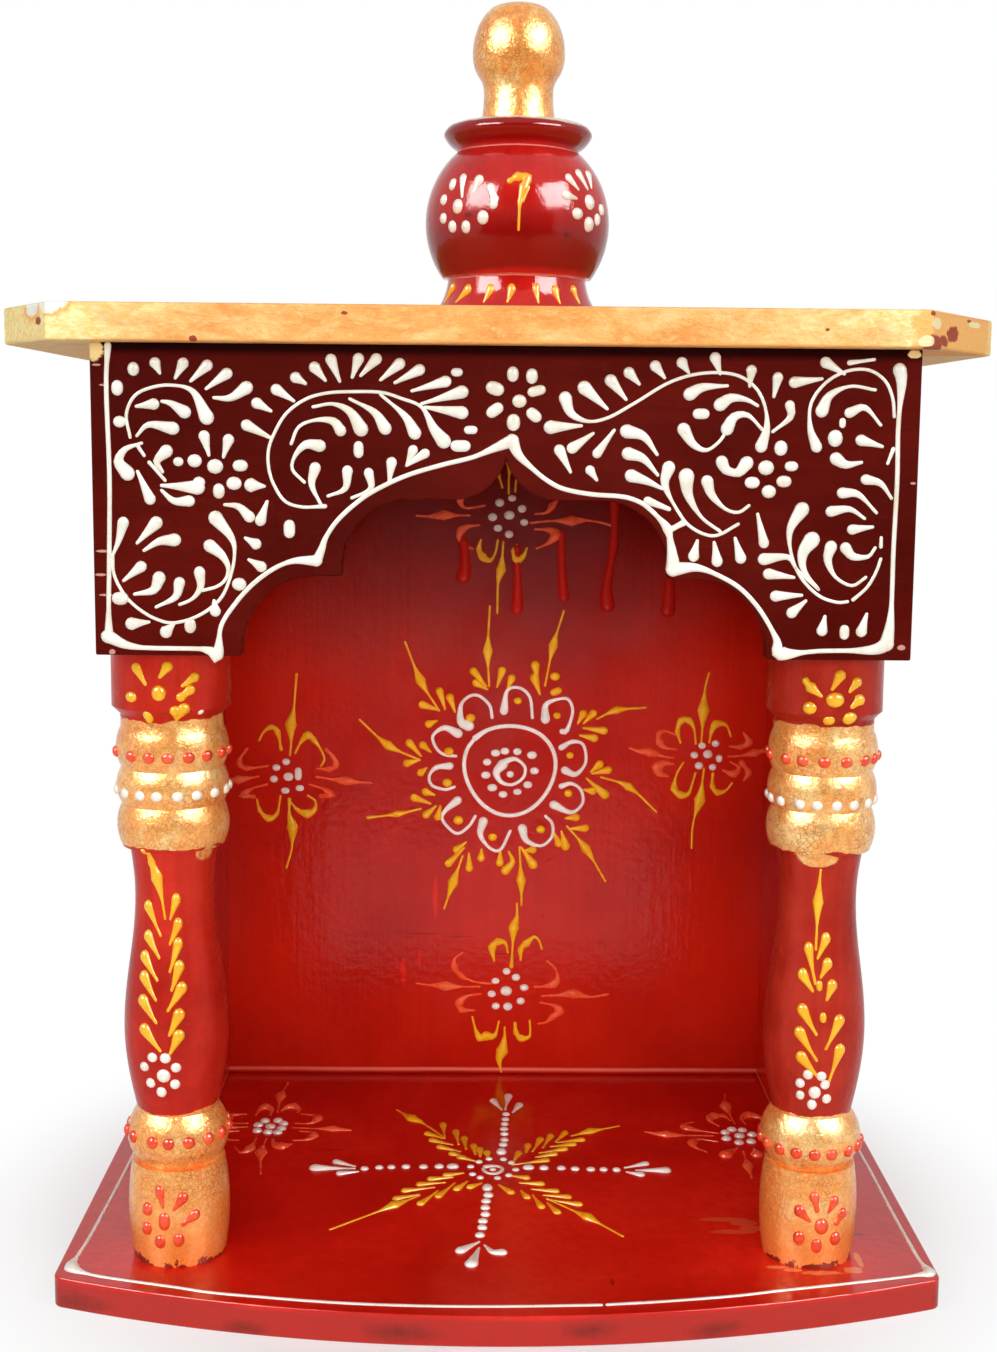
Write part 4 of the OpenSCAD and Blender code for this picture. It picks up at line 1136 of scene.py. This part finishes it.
# base top: a cream cross and yellow leaf sprays round its middle, a flower at each side
baseCream = [
    (-1, 2.4, 2.2), (-2.3, 12.1, 2.4), (3, 11.7, 2.4), (-6, 9.3, 2.4), (5.9, 8.6, 2.4),
    (-9.1, 5, 2.4), (7.3, 2.4, 2.4), (-8.4, -1.7, 2.4), (-5.6, -4.7, 2.4), (0.6, -5, 2.4),
    (4.7, -2.6, 2.4), (2.3, 18.6, 4, 4.6), (3.1, 25.3, 3.2), (3.6, 30, 3), (3.7, 35.7, 3),
    (3.7, 40.7, 3), (4, 45.7, 2.8), (4.3, 50.4, 2.8), (4.7, 55.7, 2.8),
    [(5.9, 75, 3.6), (4.4, 60.7)], [(-0.1, 70, 3.4), (3, 60.7)], [(10.1, 65.4, 3.4), (7.3, 57.9)],
    (-15.6, 5, 4.4, 3.6), (-20.6, 5, 3.2), (-26.3, 4.7, 3), (-32.7, 4.6, 3), (-38, 4.3, 2.8),
    (-42.4, 3.9, 2.8), (-47.7, 2.9, 2.8), [(-65.6, 3.1, 4.5), (-51.3, 3.1)],
    [(-58.4, 8.9), (-51.3, 5)], [(-56.3, -1.4), (-49.9, 0.4)], (12, 4.3, 4.2, 3.4), (17.7, 4, 3.2),
    (24, 3.9, 3), (29, 3.3, 3), (34.7, 2.9, 3), (39.4, 2.9, 2.8), (44.1, 2.6, 2.8),
    [(62, 2.1, 4), (51.3, 2.4)], [(55.1, 8.1), (47.3, 4.6)], [(52.6, -1.6), (47.6, 0.8)],
    (-3.1, -13.6, 3.8, 4.6), (-2.8, -19.8, 3.4), (-3.6, -24.7, 3.2), (-3.9, -30, 3.2),
    (-3.9, -35.3, 3.2), (-4.8, -40.6, 3.2), (-5, -45.6, 3.2), (-5.8, -51.3, 3.2),
    [(-8.6, -72.2, 4.6), (-6.1, -60.6)], [(-12.2, -62.8, 3.8), (-6.1, -56.1)],
    [(1.4, -64, 3.6), (-1.6, -63.6, 2.4), (-4.2, -58.6)],
]
baseMiddle = {"centre": (-1, 2.4), "radius": 3.4, "line": 1.5, "wobble": 0.1}
baseSprays = [
    [(-56.1, -47.2, 0.8), (-35.6, -28.3, 4.5), (-27, -20)], [(-35, -22.8), (-27.2, -19.1)],
    [(-32.2, -16.1), (-22, -13.1)], [(-27.2, -10.8), (-18.3, -8.9)],
    [(-23.3, -6.1), (-15.6, -4.4)], [(-17.8, -2.8), (-11.7, -0.6)],
    [(-26.4, -26.7), (-20.6, -16.1)], [(-20.3, -20.6), (-14.8, -9.4)],
    [(-13.9, -14.4), (-10.3, -7.8)], [(-9.2, -12.8), (-5.2, -9.4)],
    [(42, -51.7, 0.8), (31.1, -37.2, 4.5), (17.8, -22.2)], [(11.1, -4.8), (5.6, -2.8)],
    [(16.1, -10), (8.6, -8.9)], [(21.1, -16.1), (12.8, -14.4)], [(25.2, -20.9), (16.7, -19.4)],
    [(28.6, -27), (18, -22.8)], [(5.2, -17.2), (1.1, -10.8)], [(10.8, -21.1), (8.9, -15.6)],
    [(15.6, -28.9), (13, -19.4)], [(20.9, -33.3), (17.8, -25.6)],
    [(-38.4, 60, 0.8), (-32, 50.7, 5), (-27.7, 46.4), (-19.1, 32.1)], [(-19.9, 45), (-19.1, 32.9)],
    [(-14.9, 37.9), (-13.7, 25.7)], [(-11.6, 31.4), (-10.9, 21.4)], [(-8, 24.3), (-7.4, 16.4)],
    [(-5.6, 20.7), (-5.6, 14.3)], [(-3, 17.9), (-2.7, 13.6)], [(-25.6, 35.7), (-19.1, 31.4)],
    [(-23.7, 29.3), (-16, 25.3)], [(-20.6, 22.9), (-13.1, 18.9)], [(-16, 16.7), (-11.3, 14.3)],
    [(-13, 13.6), (-7.7, 10.3)], [(48.3, 44.3, 0.8), (36.6, 38.6, 4.2), (29.4, 34.3)],
    [(26.9, 37.1), (23, 28.6)], [(21.3, 34), (18, 22.9)], [(17.3, 30.7), (14, 19.3)],
    [(12.3, 24.6), (11.6, 18.6)], [(8.7, 17.4), (7, 11.1)], [(33, 30.4), (23.7, 27.9)],
    [(29.4, 26), (21.1, 23.9)], [(25.9, 21.4), (16.6, 17.9)], [(21.9, 16.7), (15.1, 13.9)],
    [(18.7, 11), (6.3, 6.9)],
]
baseFlowerCream = [
    (-89.1, 47.9, 3.6), (-84.1, 48.3, 3.6), (-81.6, 45.3, 3.4), (-82, 40.4, 3.6), (-83, 36.4, 3.4),
    (-86.7, 36.7, 3.6), (-91, 38.1, 3.6), (-91.3, 43.6, 3.6), (-86.4, 42.1, 3.8), (91.6, 41, 3.6),
    (95.6, 40.4, 3.4), (98.7, 36.1, 3.6), (97.3, 29.3, 3.6), (92.6, 28.3, 3.6), (88.3, 32.1, 3.6),
    (88.7, 38.1, 3.6), (93.7, 34.7, 3.8),
]
baseFlowerOrange = [
    [(-84.6, 89.3, 0.8), (-85.9, 74.3, 5), (-85.3, 57.1)],
    [(-84.9, -2.1, 0.8), (-87, 17.1, 5), (-86.6, 30.7)],
    [(-93.4, 54.3, 0.8), (-92.6, 60), (-90.4, 62.4, 4.6), (-88, 59.6), (-87.7, 54.3)],
    [(-83.9, 58.6, 0.8), (-82.4, 62), (-79.7, 63.2, 4.4), (-77.4, 60.6), (-77.3, 57.1)],
    [(-55.3, 39, 0.8), (-62, 40, 4.5), (-77.7, 41.4)],
    [(-75.6, 55.3, 0.8), (-70.6, 54), (-68.9, 50.6, 4.5), (-71.3, 45.9), (-77, 45.7)],
    [(-74.6, 37.9, 0.8), (-70.6, 37), (-69, 33.4, 4.2), (-71.3, 29.7), (-76, 28.9)],
    [(-97.3, 22.1, 0.8), (-94.6, 17.4), (-91.6, 20.6, 4.4), (-90.6, 31.4)],
    [(-84.1, 30, 0.8), (-83, 25), (-79.9, 22.9, 5.2), (-76.6, 25.4)],
    [(-108.6, 41.4, 2.4), (-104.5, 41.2, 4), (-95.4, 42)],
    [(-97.4, 55, 0.8), (-102.4, 54), (-104, 50.6, 4.5), (-101.6, 46), (-95.8, 45.7)],
    [(-98.2, 37.9, 0.8), (-102.4, 37), (-104, 33.4, 4.2), (-101.5, 29.7), (-97, 28.9)],
    [(94.1, 78.6, 0.8), (92.7, 65, 5.4), (93.7, 47.1)],
    [(92.6, -3.6, 0.8), (92.7, 6.4, 4.5), (93, 20)],
    [(87, 44.7, 0.8), (84.4, 50), (86, 54.3, 5), (90.4, 55), (92.3, 50.7)],
    [(97.7, 47.1, 0.8), (97.2, 52), (100.2, 55.7, 5), (104.6, 53), (104.8, 49)],
    [(58, 38.6, 0.8), (65.9, 35.7, 5), (83.7, 35)],
    [(77.7, 48.6, 0.8), (73.6, 46), (74.4, 42.1, 4), (85.9, 37.6)],
    [(84.4, 29.3, 0.8), (78, 31.6), (74.8, 28, 4.2), (75.4, 23.6), (79.1, 19.6)],
    [(85.9, 16.4, 5.6), (91.1, 22.9)], [(97.6, 17.1, 5), (97.6, 22.9)],
    [(108.6, 34.4, 2), (103.6, 34)],
    [(103.6, 46, 0.8), (107.2, 44), (106.6, 40.4, 3), (102.6, 38)],
    [(102.4, 28, 0.8), (106.4, 27, 3), (106.6, 22.6), (104, 19.6)],
]
baseLines = [
    [(-134, 94, 1.4), (-134, 50), (-134, 0), (-135.2, -50), (-136.3, -66.7), (-136.3, -75.5, 5.2),
     (-128.3, -80.5), (-117.2, -84), (-100.6, -88.6), (-89.4, -91.9), (-72.8, -94.8),
     (-56.1, -97.4), (-39.4, -99.2), (-17.2, -100.3), (6, -100.2), (31.4, -99.2, 1)],
    [(33.4, -99, 1), (50.6, -96.9), (72.8, -93.3), (89.4, -89.4), (106, -85.8), (122.8, -81.9),
     (133.9, -79), (138.3, -77.2, 4.4), (137.2, -66.7), (136.7, -33), (136.7, 0), (136.3, 50),
     (136, 94, 1.4)],
]

for name, strokes, colour, material, head, line in (
        ("base_cross", baseCream, "cream", innerLitCream, 3, 0.9),
        ("base_middle_ring", ringStroke(baseMiddle), "cream", innerLitCream, 1.6, 1.4),
        ("base_sprays", baseSprays, "yellow", innerLitYellow, 3, 0.9),
        ("base_flowers_cream", baseFlowerCream, "cream", innerLitCream, 3.2, 0.9),
        ("base_flowers_orange", baseFlowerOrange, "orange", innerLitOrange, 1, 0.9)):
    paintStrokes(name, strokes, onBase, material, colour + "_relief_paint", head=head, line=line)
paintStrokes("base_lines", baseLines, onBase, innerLitCream, "cream_relief_paint", "base_border",
             head=1.4, line=1.3)
print("base painted")

# painted sprays, flowers and beads, in degrees round from the front and mm above the floor
columnPaint = {
    "left": {
        "yellow": [
            (-2.4, 196.4, 4.2, 4.8), [(-24.6, 203.9, 3.2), (-15.4, 199.1)],
            [(5.9, 204.5, 3.4), (-1, 201.4)], [(31.5, 201, 3.2), (20, 198.6)],
            [(27, 197.2, 3.4), (18.5, 195.2, 3)], [(20.8, 191.4, 3.8), (14.5, 187.8)],
            [(12.8, 190.8, 3.4), (14.5, 187.8)], (-15.4, 188.6, 3.2, 4), (-31.3, 194.8, 3.8, 3.4),
            [(-26.3, 146, 2.2), (-21.8, 142.4, 3.4), (-15.4, 137.4, 5.4), (-9.5, 131),
             (-4.6, 124.4)], [(11.4, 130.4), (2.9, 124.3)], [(13.6, 122.6), (2.1, 116.4)],
            [(12.9, 116.4), (2.1, 107.9)], [(13.6, 109.3), (4.3, 102.1)],
            [(15.7, 102.6), (0, 95.7)], [(12.1, 94.3), (1.4, 87.9)], [(11.4, 87.6), (2.1, 81.9)],
            [(-31, 127.8), (-11, 119)], [(-29.5, 118.4), (-12, 112)], [(-33, 111.9), (-13.5, 105)],
            [(-31.2, 105.6), (-14.3, 98.8)], [(-30.4, 98.2), (-13.4, 91.7)],
            [(-27.2, 89.1), (-9.2, 82.7)],
        ],
        "cream": [
            (38.6, 190, 1.6), (-18.6, 80.3, 3.3), (-3.6, 80.3, 3.5), (7.9, 77.1, 3.3),
            (-30, 76.7, 3.2), (-6.4, 74.3, 4.6), (6.4, 71.4, 3.4), (-23.6, 71.4, 3.4),
            (-10.4, 68.6, 3.6),
        ],
        "orange": [
            (-8, 26.2, 4, 6), [(-13.7, 36, 3.6), (-9.5, 31)], [(13, 33.8, 4), (3, 30.2)],
            [(26, 27.8, 4), (14, 25.4, 2)], (7.8, 19.9, 4, 4.6), (-13.7, 19.2, 4, 4.6),
            (-30, 23, 4, 4.4), (-29, 29.6, 4.2, 4.4),
        ],
        "topBeads": [-74, -37, -15, 4.6, 25.6, 46.6, 69],
        "middleBeads": [-72, -48, -26, -7.4, 14, 34, 56, 79],
        "collarBeads": [-52, -21, -2, 21, 45, 67], "heights": (176, 164, 52),
    },
    "right": {
        "yellow": [
            (-1, 195.7, 5.4, 4.8), [(-30, 201.2, 2.4), (-25, 199.4, 3.8), (-14.5, 196.8)],
            [(3.1, 203.2, 3.6), (-4, 199)], [(20.8, 201, 3.4), (13.6, 198.3)],
            [(24, 195.4, 4), (17, 193.6, 1.6)], (15, 189.9, 4.4, 4), (-6, 189, 3.8, 3),
            (-25.2, 192.9, 4.2, 4), [(-8.6, 141, 0.8), (-10.7, 130.7, 5.2), (-11.4, 115.7)],
            [(2.1, 119), (-8.6, 112.9)], [(4.3, 111.1), (-4, 107)], [(10, 104.3), (3.6, 100)],
            [(18.6, 93.1), (3.6, 84.3)], [(20, 83.6), (7.9, 71.4)], (-5.7, 104.3, 2.4, 3.4),
            (-0.7, 94.3, 2.4, 3.4), [(-21.4, 115.7), (-10.7, 105)],
            [(-27.1, 107.4), (-13.6, 102.6)], [(-24.3, 96.4), (-7.9, 88.9)],
            [(-26.4, 89), (-6.4, 80.3)], [(-23.6, 81), (-2.9, 74.3)],
        ],
        "cream": [
            (-15.7, 75.4, 3.4), (0, 75, 3.3), (5, 72.1, 3.3), (-25, 72.1, 3.3), (-7.1, 69.3, 4.4),
            (-25, 67.9, 3.2), (-10, 65, 3.6), (8.6, 67.1, 3.4),
        ],
        "orange": [
            (5.8, 25.1, 5.2, 5.4), [(-3, 34.6, 4), (0, 30.6, 2)], [(21.5, 33, 3.8), (14, 29.6)],
            [(-20, 29.8, 4.2), (-8, 26.8)], [(33, 28.4, 3.8), (25, 25.6, 2)],
            (-20, 20.7, 4.4, 4.8), (0.9, 18.4, 4, 5), (24, 20.4, 4.4, 4.6),
        ],
        "topBeads": [-83, -52, -32, -9, 14.5, 38.7, 56.7],
        "middleBeads": [-79, -59, -34, -15, 6, 26, 48],
        "collarBeads": [-69, -47, -26, -5, 15, 38.7], "heights": (176, 162.3, 49),
    },
}
unrolled = 17.5  # mm, the radius on which the columns' paint is laid out
beadRows = (("top_ring", "topBeads", "orange", beadPaint, 3.7),
            ("mid_ring", "middleBeads", "cream", creamPaint, 3.3),
            ("collar", "collarBeads", "orange", beadPaint, 4))
beadsEnd = 140  # degrees round from the front


# the beads seen from the front, and more at the same spacing round to where the row ends
def beadAngles(seen, end):
    step = (seen[-1] - seen[0]) / (len(seen) - 1)
    angles = list(seen)
    while angles[0] - step > -end:
        angles.insert(0, angles[0] - step)
    while angles[-1] + step < end:
        angles.append(angles[-1] + step)
    return angles


def unroll(strokes):
    return eachPoint(strokes, lambda angle, *rest: (angle * math.radians(1) * unrolled, *rest))


for side in ("left", "right"):
    axis, outline = columnAxes[side]
    marks = columnPaint[side]
    surface = bendRound(Vector((axis.x, axis.y, 0)), [(r, h + axis.z) for r, h in outline],
                        unrolled)
    for colour, material in (("yellow", yellowPaint), ("cream", creamPaint), ("orange", beadPaint)):
        paintStrokes(side + "_column_" + colour, unroll(marks[colour]), surface, material,
                     colour + "_relief_paint", head=4.2, line=1.1, taper=1.8)
    for (row, key, colour, material, size), height in zip(beadRows, marks["heights"]):
        beads = [(angle, height, size) for angle in beadAngles(marks[key], beadsEnd)]
        node = side + "_" + row + "_beads"
        paintStrokes(node + "_laid", unroll(beads), surface, material, colour + "_relief_paint",
                     node)
print("columns painted")

# pot: two cream flowers, a yellow hook between them and drops round the foot,
# in mm sideways of the axis as seen from the front and mm above the roof board
potPaint = {
    "cream": [
        (-20, 37, 4, 4.8), (-21.7, 44.5, 3, 4), [(-18.3, 46.2, 3), (-18.6, 40)],
        [(-13.2, 45, 3.8), (-15, 41)], [(-9.4, 42.4, 3.2), (-8.2, 38.8, 3.4), (-8.4, 37, 3)],
        (-11.8, 33, 4, 4.6), (-17.3, 30.3, 3.4, 4.2), (-21.7, 30.7, 3.4, 4),
        (-24.7, 33.7, 3.2, 3.6), (-24.6, 39.7, 3.2, 3.6), (23.2, 39.2, 4.4, 5), (19.1, 35, 4.2, 4),
        [(16.2, 46.4, 3), (19.4, 43)], [(19.6, 48.4, 3), (22.6, 43.6)],
        [(23, 48.6, 3), (24, 44.4)], (27.5, 37.5, 3, 4), (26, 34, 3, 4), (23, 32, 4.2, 5),
        [(15.4, 40.6, 3.6), (18.8, 39.9)],
    ],
    "yellow": [
        [(-3.2, 44.6, 2), (-0.6, 46, 3.4), (2.4, 45.4, 3.8), (1.4, 42.6, 3.6), (0.2, 38, 1.8),
         (-0.1, 33), (-0.2, 29)], [(2.8, 42.6, 1.4), (1.2, 38)], [(-16.6, 10.9, 3.8), (-20.4, 7)],
        [(-9.2, 10.6, 3.8), (-11.2, 6.6)], [(-2.2, 10.6, 3.8), (-3.5, 6.5)],
        [(5.9, 11, 3.6), (6.7, 6.4)], [(12.4, 10.6, 3.6), (13.8, 6.5)],
        [(18.6, 11.2, 3.4), (20.6, 7)], [(-21.6, 12, 3.4), (-24.2, 7.6)],
    ],
}
potSurface = bendRound(potAxis, potOutline(potShape), potShape["belly"])


# a place seen from the front, moved to its distance round the pot's belly
def roundPot(x, v, *rest):
    radius = math.hypot(*(potSurface(0, v, 0) - potAxis / mm).xy)
    return (math.asin(x / radius) * potShape["belly"], v, *rest)


for colour, material in (("cream", creamPaint), ("yellow", yellowPaint)):
    paintStrokes("pot_" + colour, eachPoint(potPaint[colour], roundPot), potSurface, material,
                 colour + "_relief_paint", head=3, line=0.9)
print("pot painted")


# floor, lights, white background; lengths in metres, angles in degrees
studio = {
    "floorSize": 8.0, "floorColour": (0.97, 0.97, 0.97), "floorRough": 0.9,
    "clearFrom": 0.06, "clearTo": 0.21, "fill": 0.1,
    "sideLamps": {"azimuth": 54, "height": 34, "distance": 1.3, "wide": 0.46, "tall": 0.6,
                  "power": 2.2},
    "sideGloss": {"azimuth": 51, "height": 34, "distance": 1.3, "wide": 0.8, "tall": 0.56,
                  "power": 40},
    "frontLamp": {"azimuth": 0, "height": 10, "distance": 4.0, "wide": 4.2, "tall": 1.6,
                  "power": 102},
    "topLamp": {"azimuth": 0, "height": 60, "distance": 1.6, "wide": 1.6, "tall": 0.8, "power": 6},
    "nicheLamp": {"azimuth": 0, "height": 3, "distance": 1.15, "wide": 0.16, "tall": 0.16,
                  "power": 0.02, "spread": 17, "aim": (0, 0.1, 0.135)},
    "aim": (0, 0, 0.2), "cardFront": -0.68, "cardBack": -1.25, "cardWide": 2.6, "cardTall": 1.5,
    "cardLift": 0.002, "cardColour": (0.02, 0.02, 0.02),
}


# rays that are to meet plain white: the camera's own and mirrored ones
def whiteRays(tree):
    path = addNode(tree, 'ShaderNodeLightPath')
    seen = path.outputs["Is Camera Ray"]
    for ray in ("Is Glossy Ray", "Is Transmission Ray"):
        seen = maths(tree, 'MAXIMUM', seen, path.outputs[ray])
    return seen


def blendShaders(tree, factor, first, second):
    return addNode(tree, 'ShaderNodeMixShader', {0: factor, 1: first.outputs[0],
                                                 2: second.outputs[0]}).outputs[0]


clearSelection()
bpy.ops.mesh.primitive_plane_add(size=studio["floorSize"], location=(0, 0, 0))
floor = bpy.context.object
floor.name = "floor"
material, tree = newMaterial("paleFloor")
paper = tree.nodes["Principled BSDF"]
plug(tree, paper.inputs["Base Color"], studio["floorColour"])
plug(tree, paper.inputs["Roughness"], studio["floorRough"])
# away from the object the floor runs out into the white background
reach = addNode(tree, 'ShaderNodeVectorMath', {0: objectCoords(tree)}, operation='LENGTH')
clear = fade(tree, reach.outputs["Value"], studio["clearFrom"], studio["clearTo"])
glow = addNode(tree, 'ShaderNodeEmission', {"Color": (1, 1, 1), "Strength": 1.0})
plug(tree, tree.nodes["Material Output"].inputs["Surface"],
     blendShaders(tree, times(tree, clear, whiteRays(tree)), paper, glow))
floor.data.materials.append(material)


def softbox(name, look, side=1):
    turn = math.radians(look["azimuth"]) * side
    lift = math.radians(look["height"])
    away = Vector((math.sin(turn) * math.cos(lift), -math.cos(turn) * math.cos(lift),
                   math.sin(lift)))
    lamp = bpy.data.lights.new(name, 'AREA')
    lamp.shape = 'RECTANGLE'
    lamp.size = look["wide"]
    lamp.size_y = look["tall"]
    lamp.energy = look["power"]
    lamp.spread = math.radians(look.get("spread", 180))
    holder = bpy.data.objects.new(name, lamp)
    holder.location = Vector(look.get("aim", studio["aim"])) + away * look["distance"]
    holder.rotation_euler = away.to_track_quat('Z', 'Y').to_euler()
    holder.visible_glossy = False
    bpy.context.scene.collection.objects.link(holder)
    return holder


for side, sign in (("left", -1), ("right", 1)):
    softbox("softbox_" + side, studio["sideLamps"], sign)
    glint = softbox("glint_" + side, studio["sideGloss"], sign)
    glint.visible_glossy = True  # seen in the gloss only
    glint.visible_diffuse = False
softbox("softbox_front", studio["frontLamp"])
softbox("softbox_top", studio["topLamp"])
softbox("softbox_niche", studio["nicheLamp"])  # a soft beam into the shrine

# dark card on the floor and up behind the camera, so that the gloss of the front stays deep;
# only reflections show it
middle = (studio["cardFront"] + studio["cardBack"]) / 2
clearSelection()
bpy.ops.mesh.primitive_plane_add(size=1, location=(0, middle, studio["cardLift"]))
card = bpy.context.object
card.name = "dark_card"
card.scale = (studio["cardWide"], studio["cardFront"] - studio["cardBack"], 1)
applyPlace(card)
bpy.ops.object.mode_set(mode='EDIT')
bpy.ops.mesh.select_mode(type='EDGE')
bpy.ops.mesh.select_all(action='DESELECT')
bpy.ops.object.mode_set(mode='OBJECT')
for edge in card.data.edges:
    edge.select = all(card.data.vertices[i].co.y < middle for i in edge.vertices)
bpy.ops.object.mode_set(mode='EDIT')
bpy.ops.mesh.extrude_region_move(TRANSFORM_OT_translate={"value": (0, 0, studio["cardTall"])})
bpy.ops.object.mode_set(mode='OBJECT')
material, tree = newMaterial("darkCard")
for socket, value in (("Base Color", studio["cardColour"]), ("Roughness", 1.0),
                      ("Specular IOR Level", 0.0)):
    plug(tree, tree.nodes["Principled BSDF"].inputs[socket], value)
card.data.materials.append(material)
card.visible_camera = card.visible_diffuse = card.visible_shadow = False

world = bpy.data.worlds.new("studioWorld")
bpy.context.scene.world = world
world.use_nodes = True
tree = world.node_tree
tree.nodes.clear()
fill = addNode(tree, 'ShaderNodeBackground', {"Color": (1, 1, 1), "Strength": studio["fill"]})
white = addNode(tree, 'ShaderNodeBackground', {"Color": (1, 1, 1), "Strength": 1.0})
addNode(tree, 'ShaderNodeOutputWorld',
        {"Surface": blendShaders(tree, whiteRays(tree), fill, white)})

# camera: its place in mm, its turn, tilt and roll in degrees
view = {"place": (-8.65, -616.75, 275.24), "turn": 0.75, "down": 7.71, "roll": 0.51,
        "lens": 47.49, "sensor": 36, "clip": 0.01}
camera = bpy.data.cameras.new("camera")
camera.lens = view["lens"]
camera.sensor_width = view["sensor"]
camera.clip_start = view["clip"]
cameraObject = bpy.data.objects.new("camera", camera)
bpy.context.scene.collection.objects.link(cameraObject)
turn, down = math.radians(view["turn"]), math.radians(view["down"])
ahead = Vector((math.sin(turn) * math.cos(down), math.cos(turn) * math.cos(down), -math.sin(down)))
facing = ahead.to_track_quat('-Z', 'Y').to_matrix().to_4x4()
roll = Matrix.Rotation(math.radians(view["roll"]), 4, 'Z')
cameraObject.matrix_world = Matrix.Translation(Vector(view["place"]) * mm) @ facing @ roll
bpy.context.scene.camera = cameraObject
bpy.context.scene.view_settings.view_transform = 'Standard'
print("studio ready")
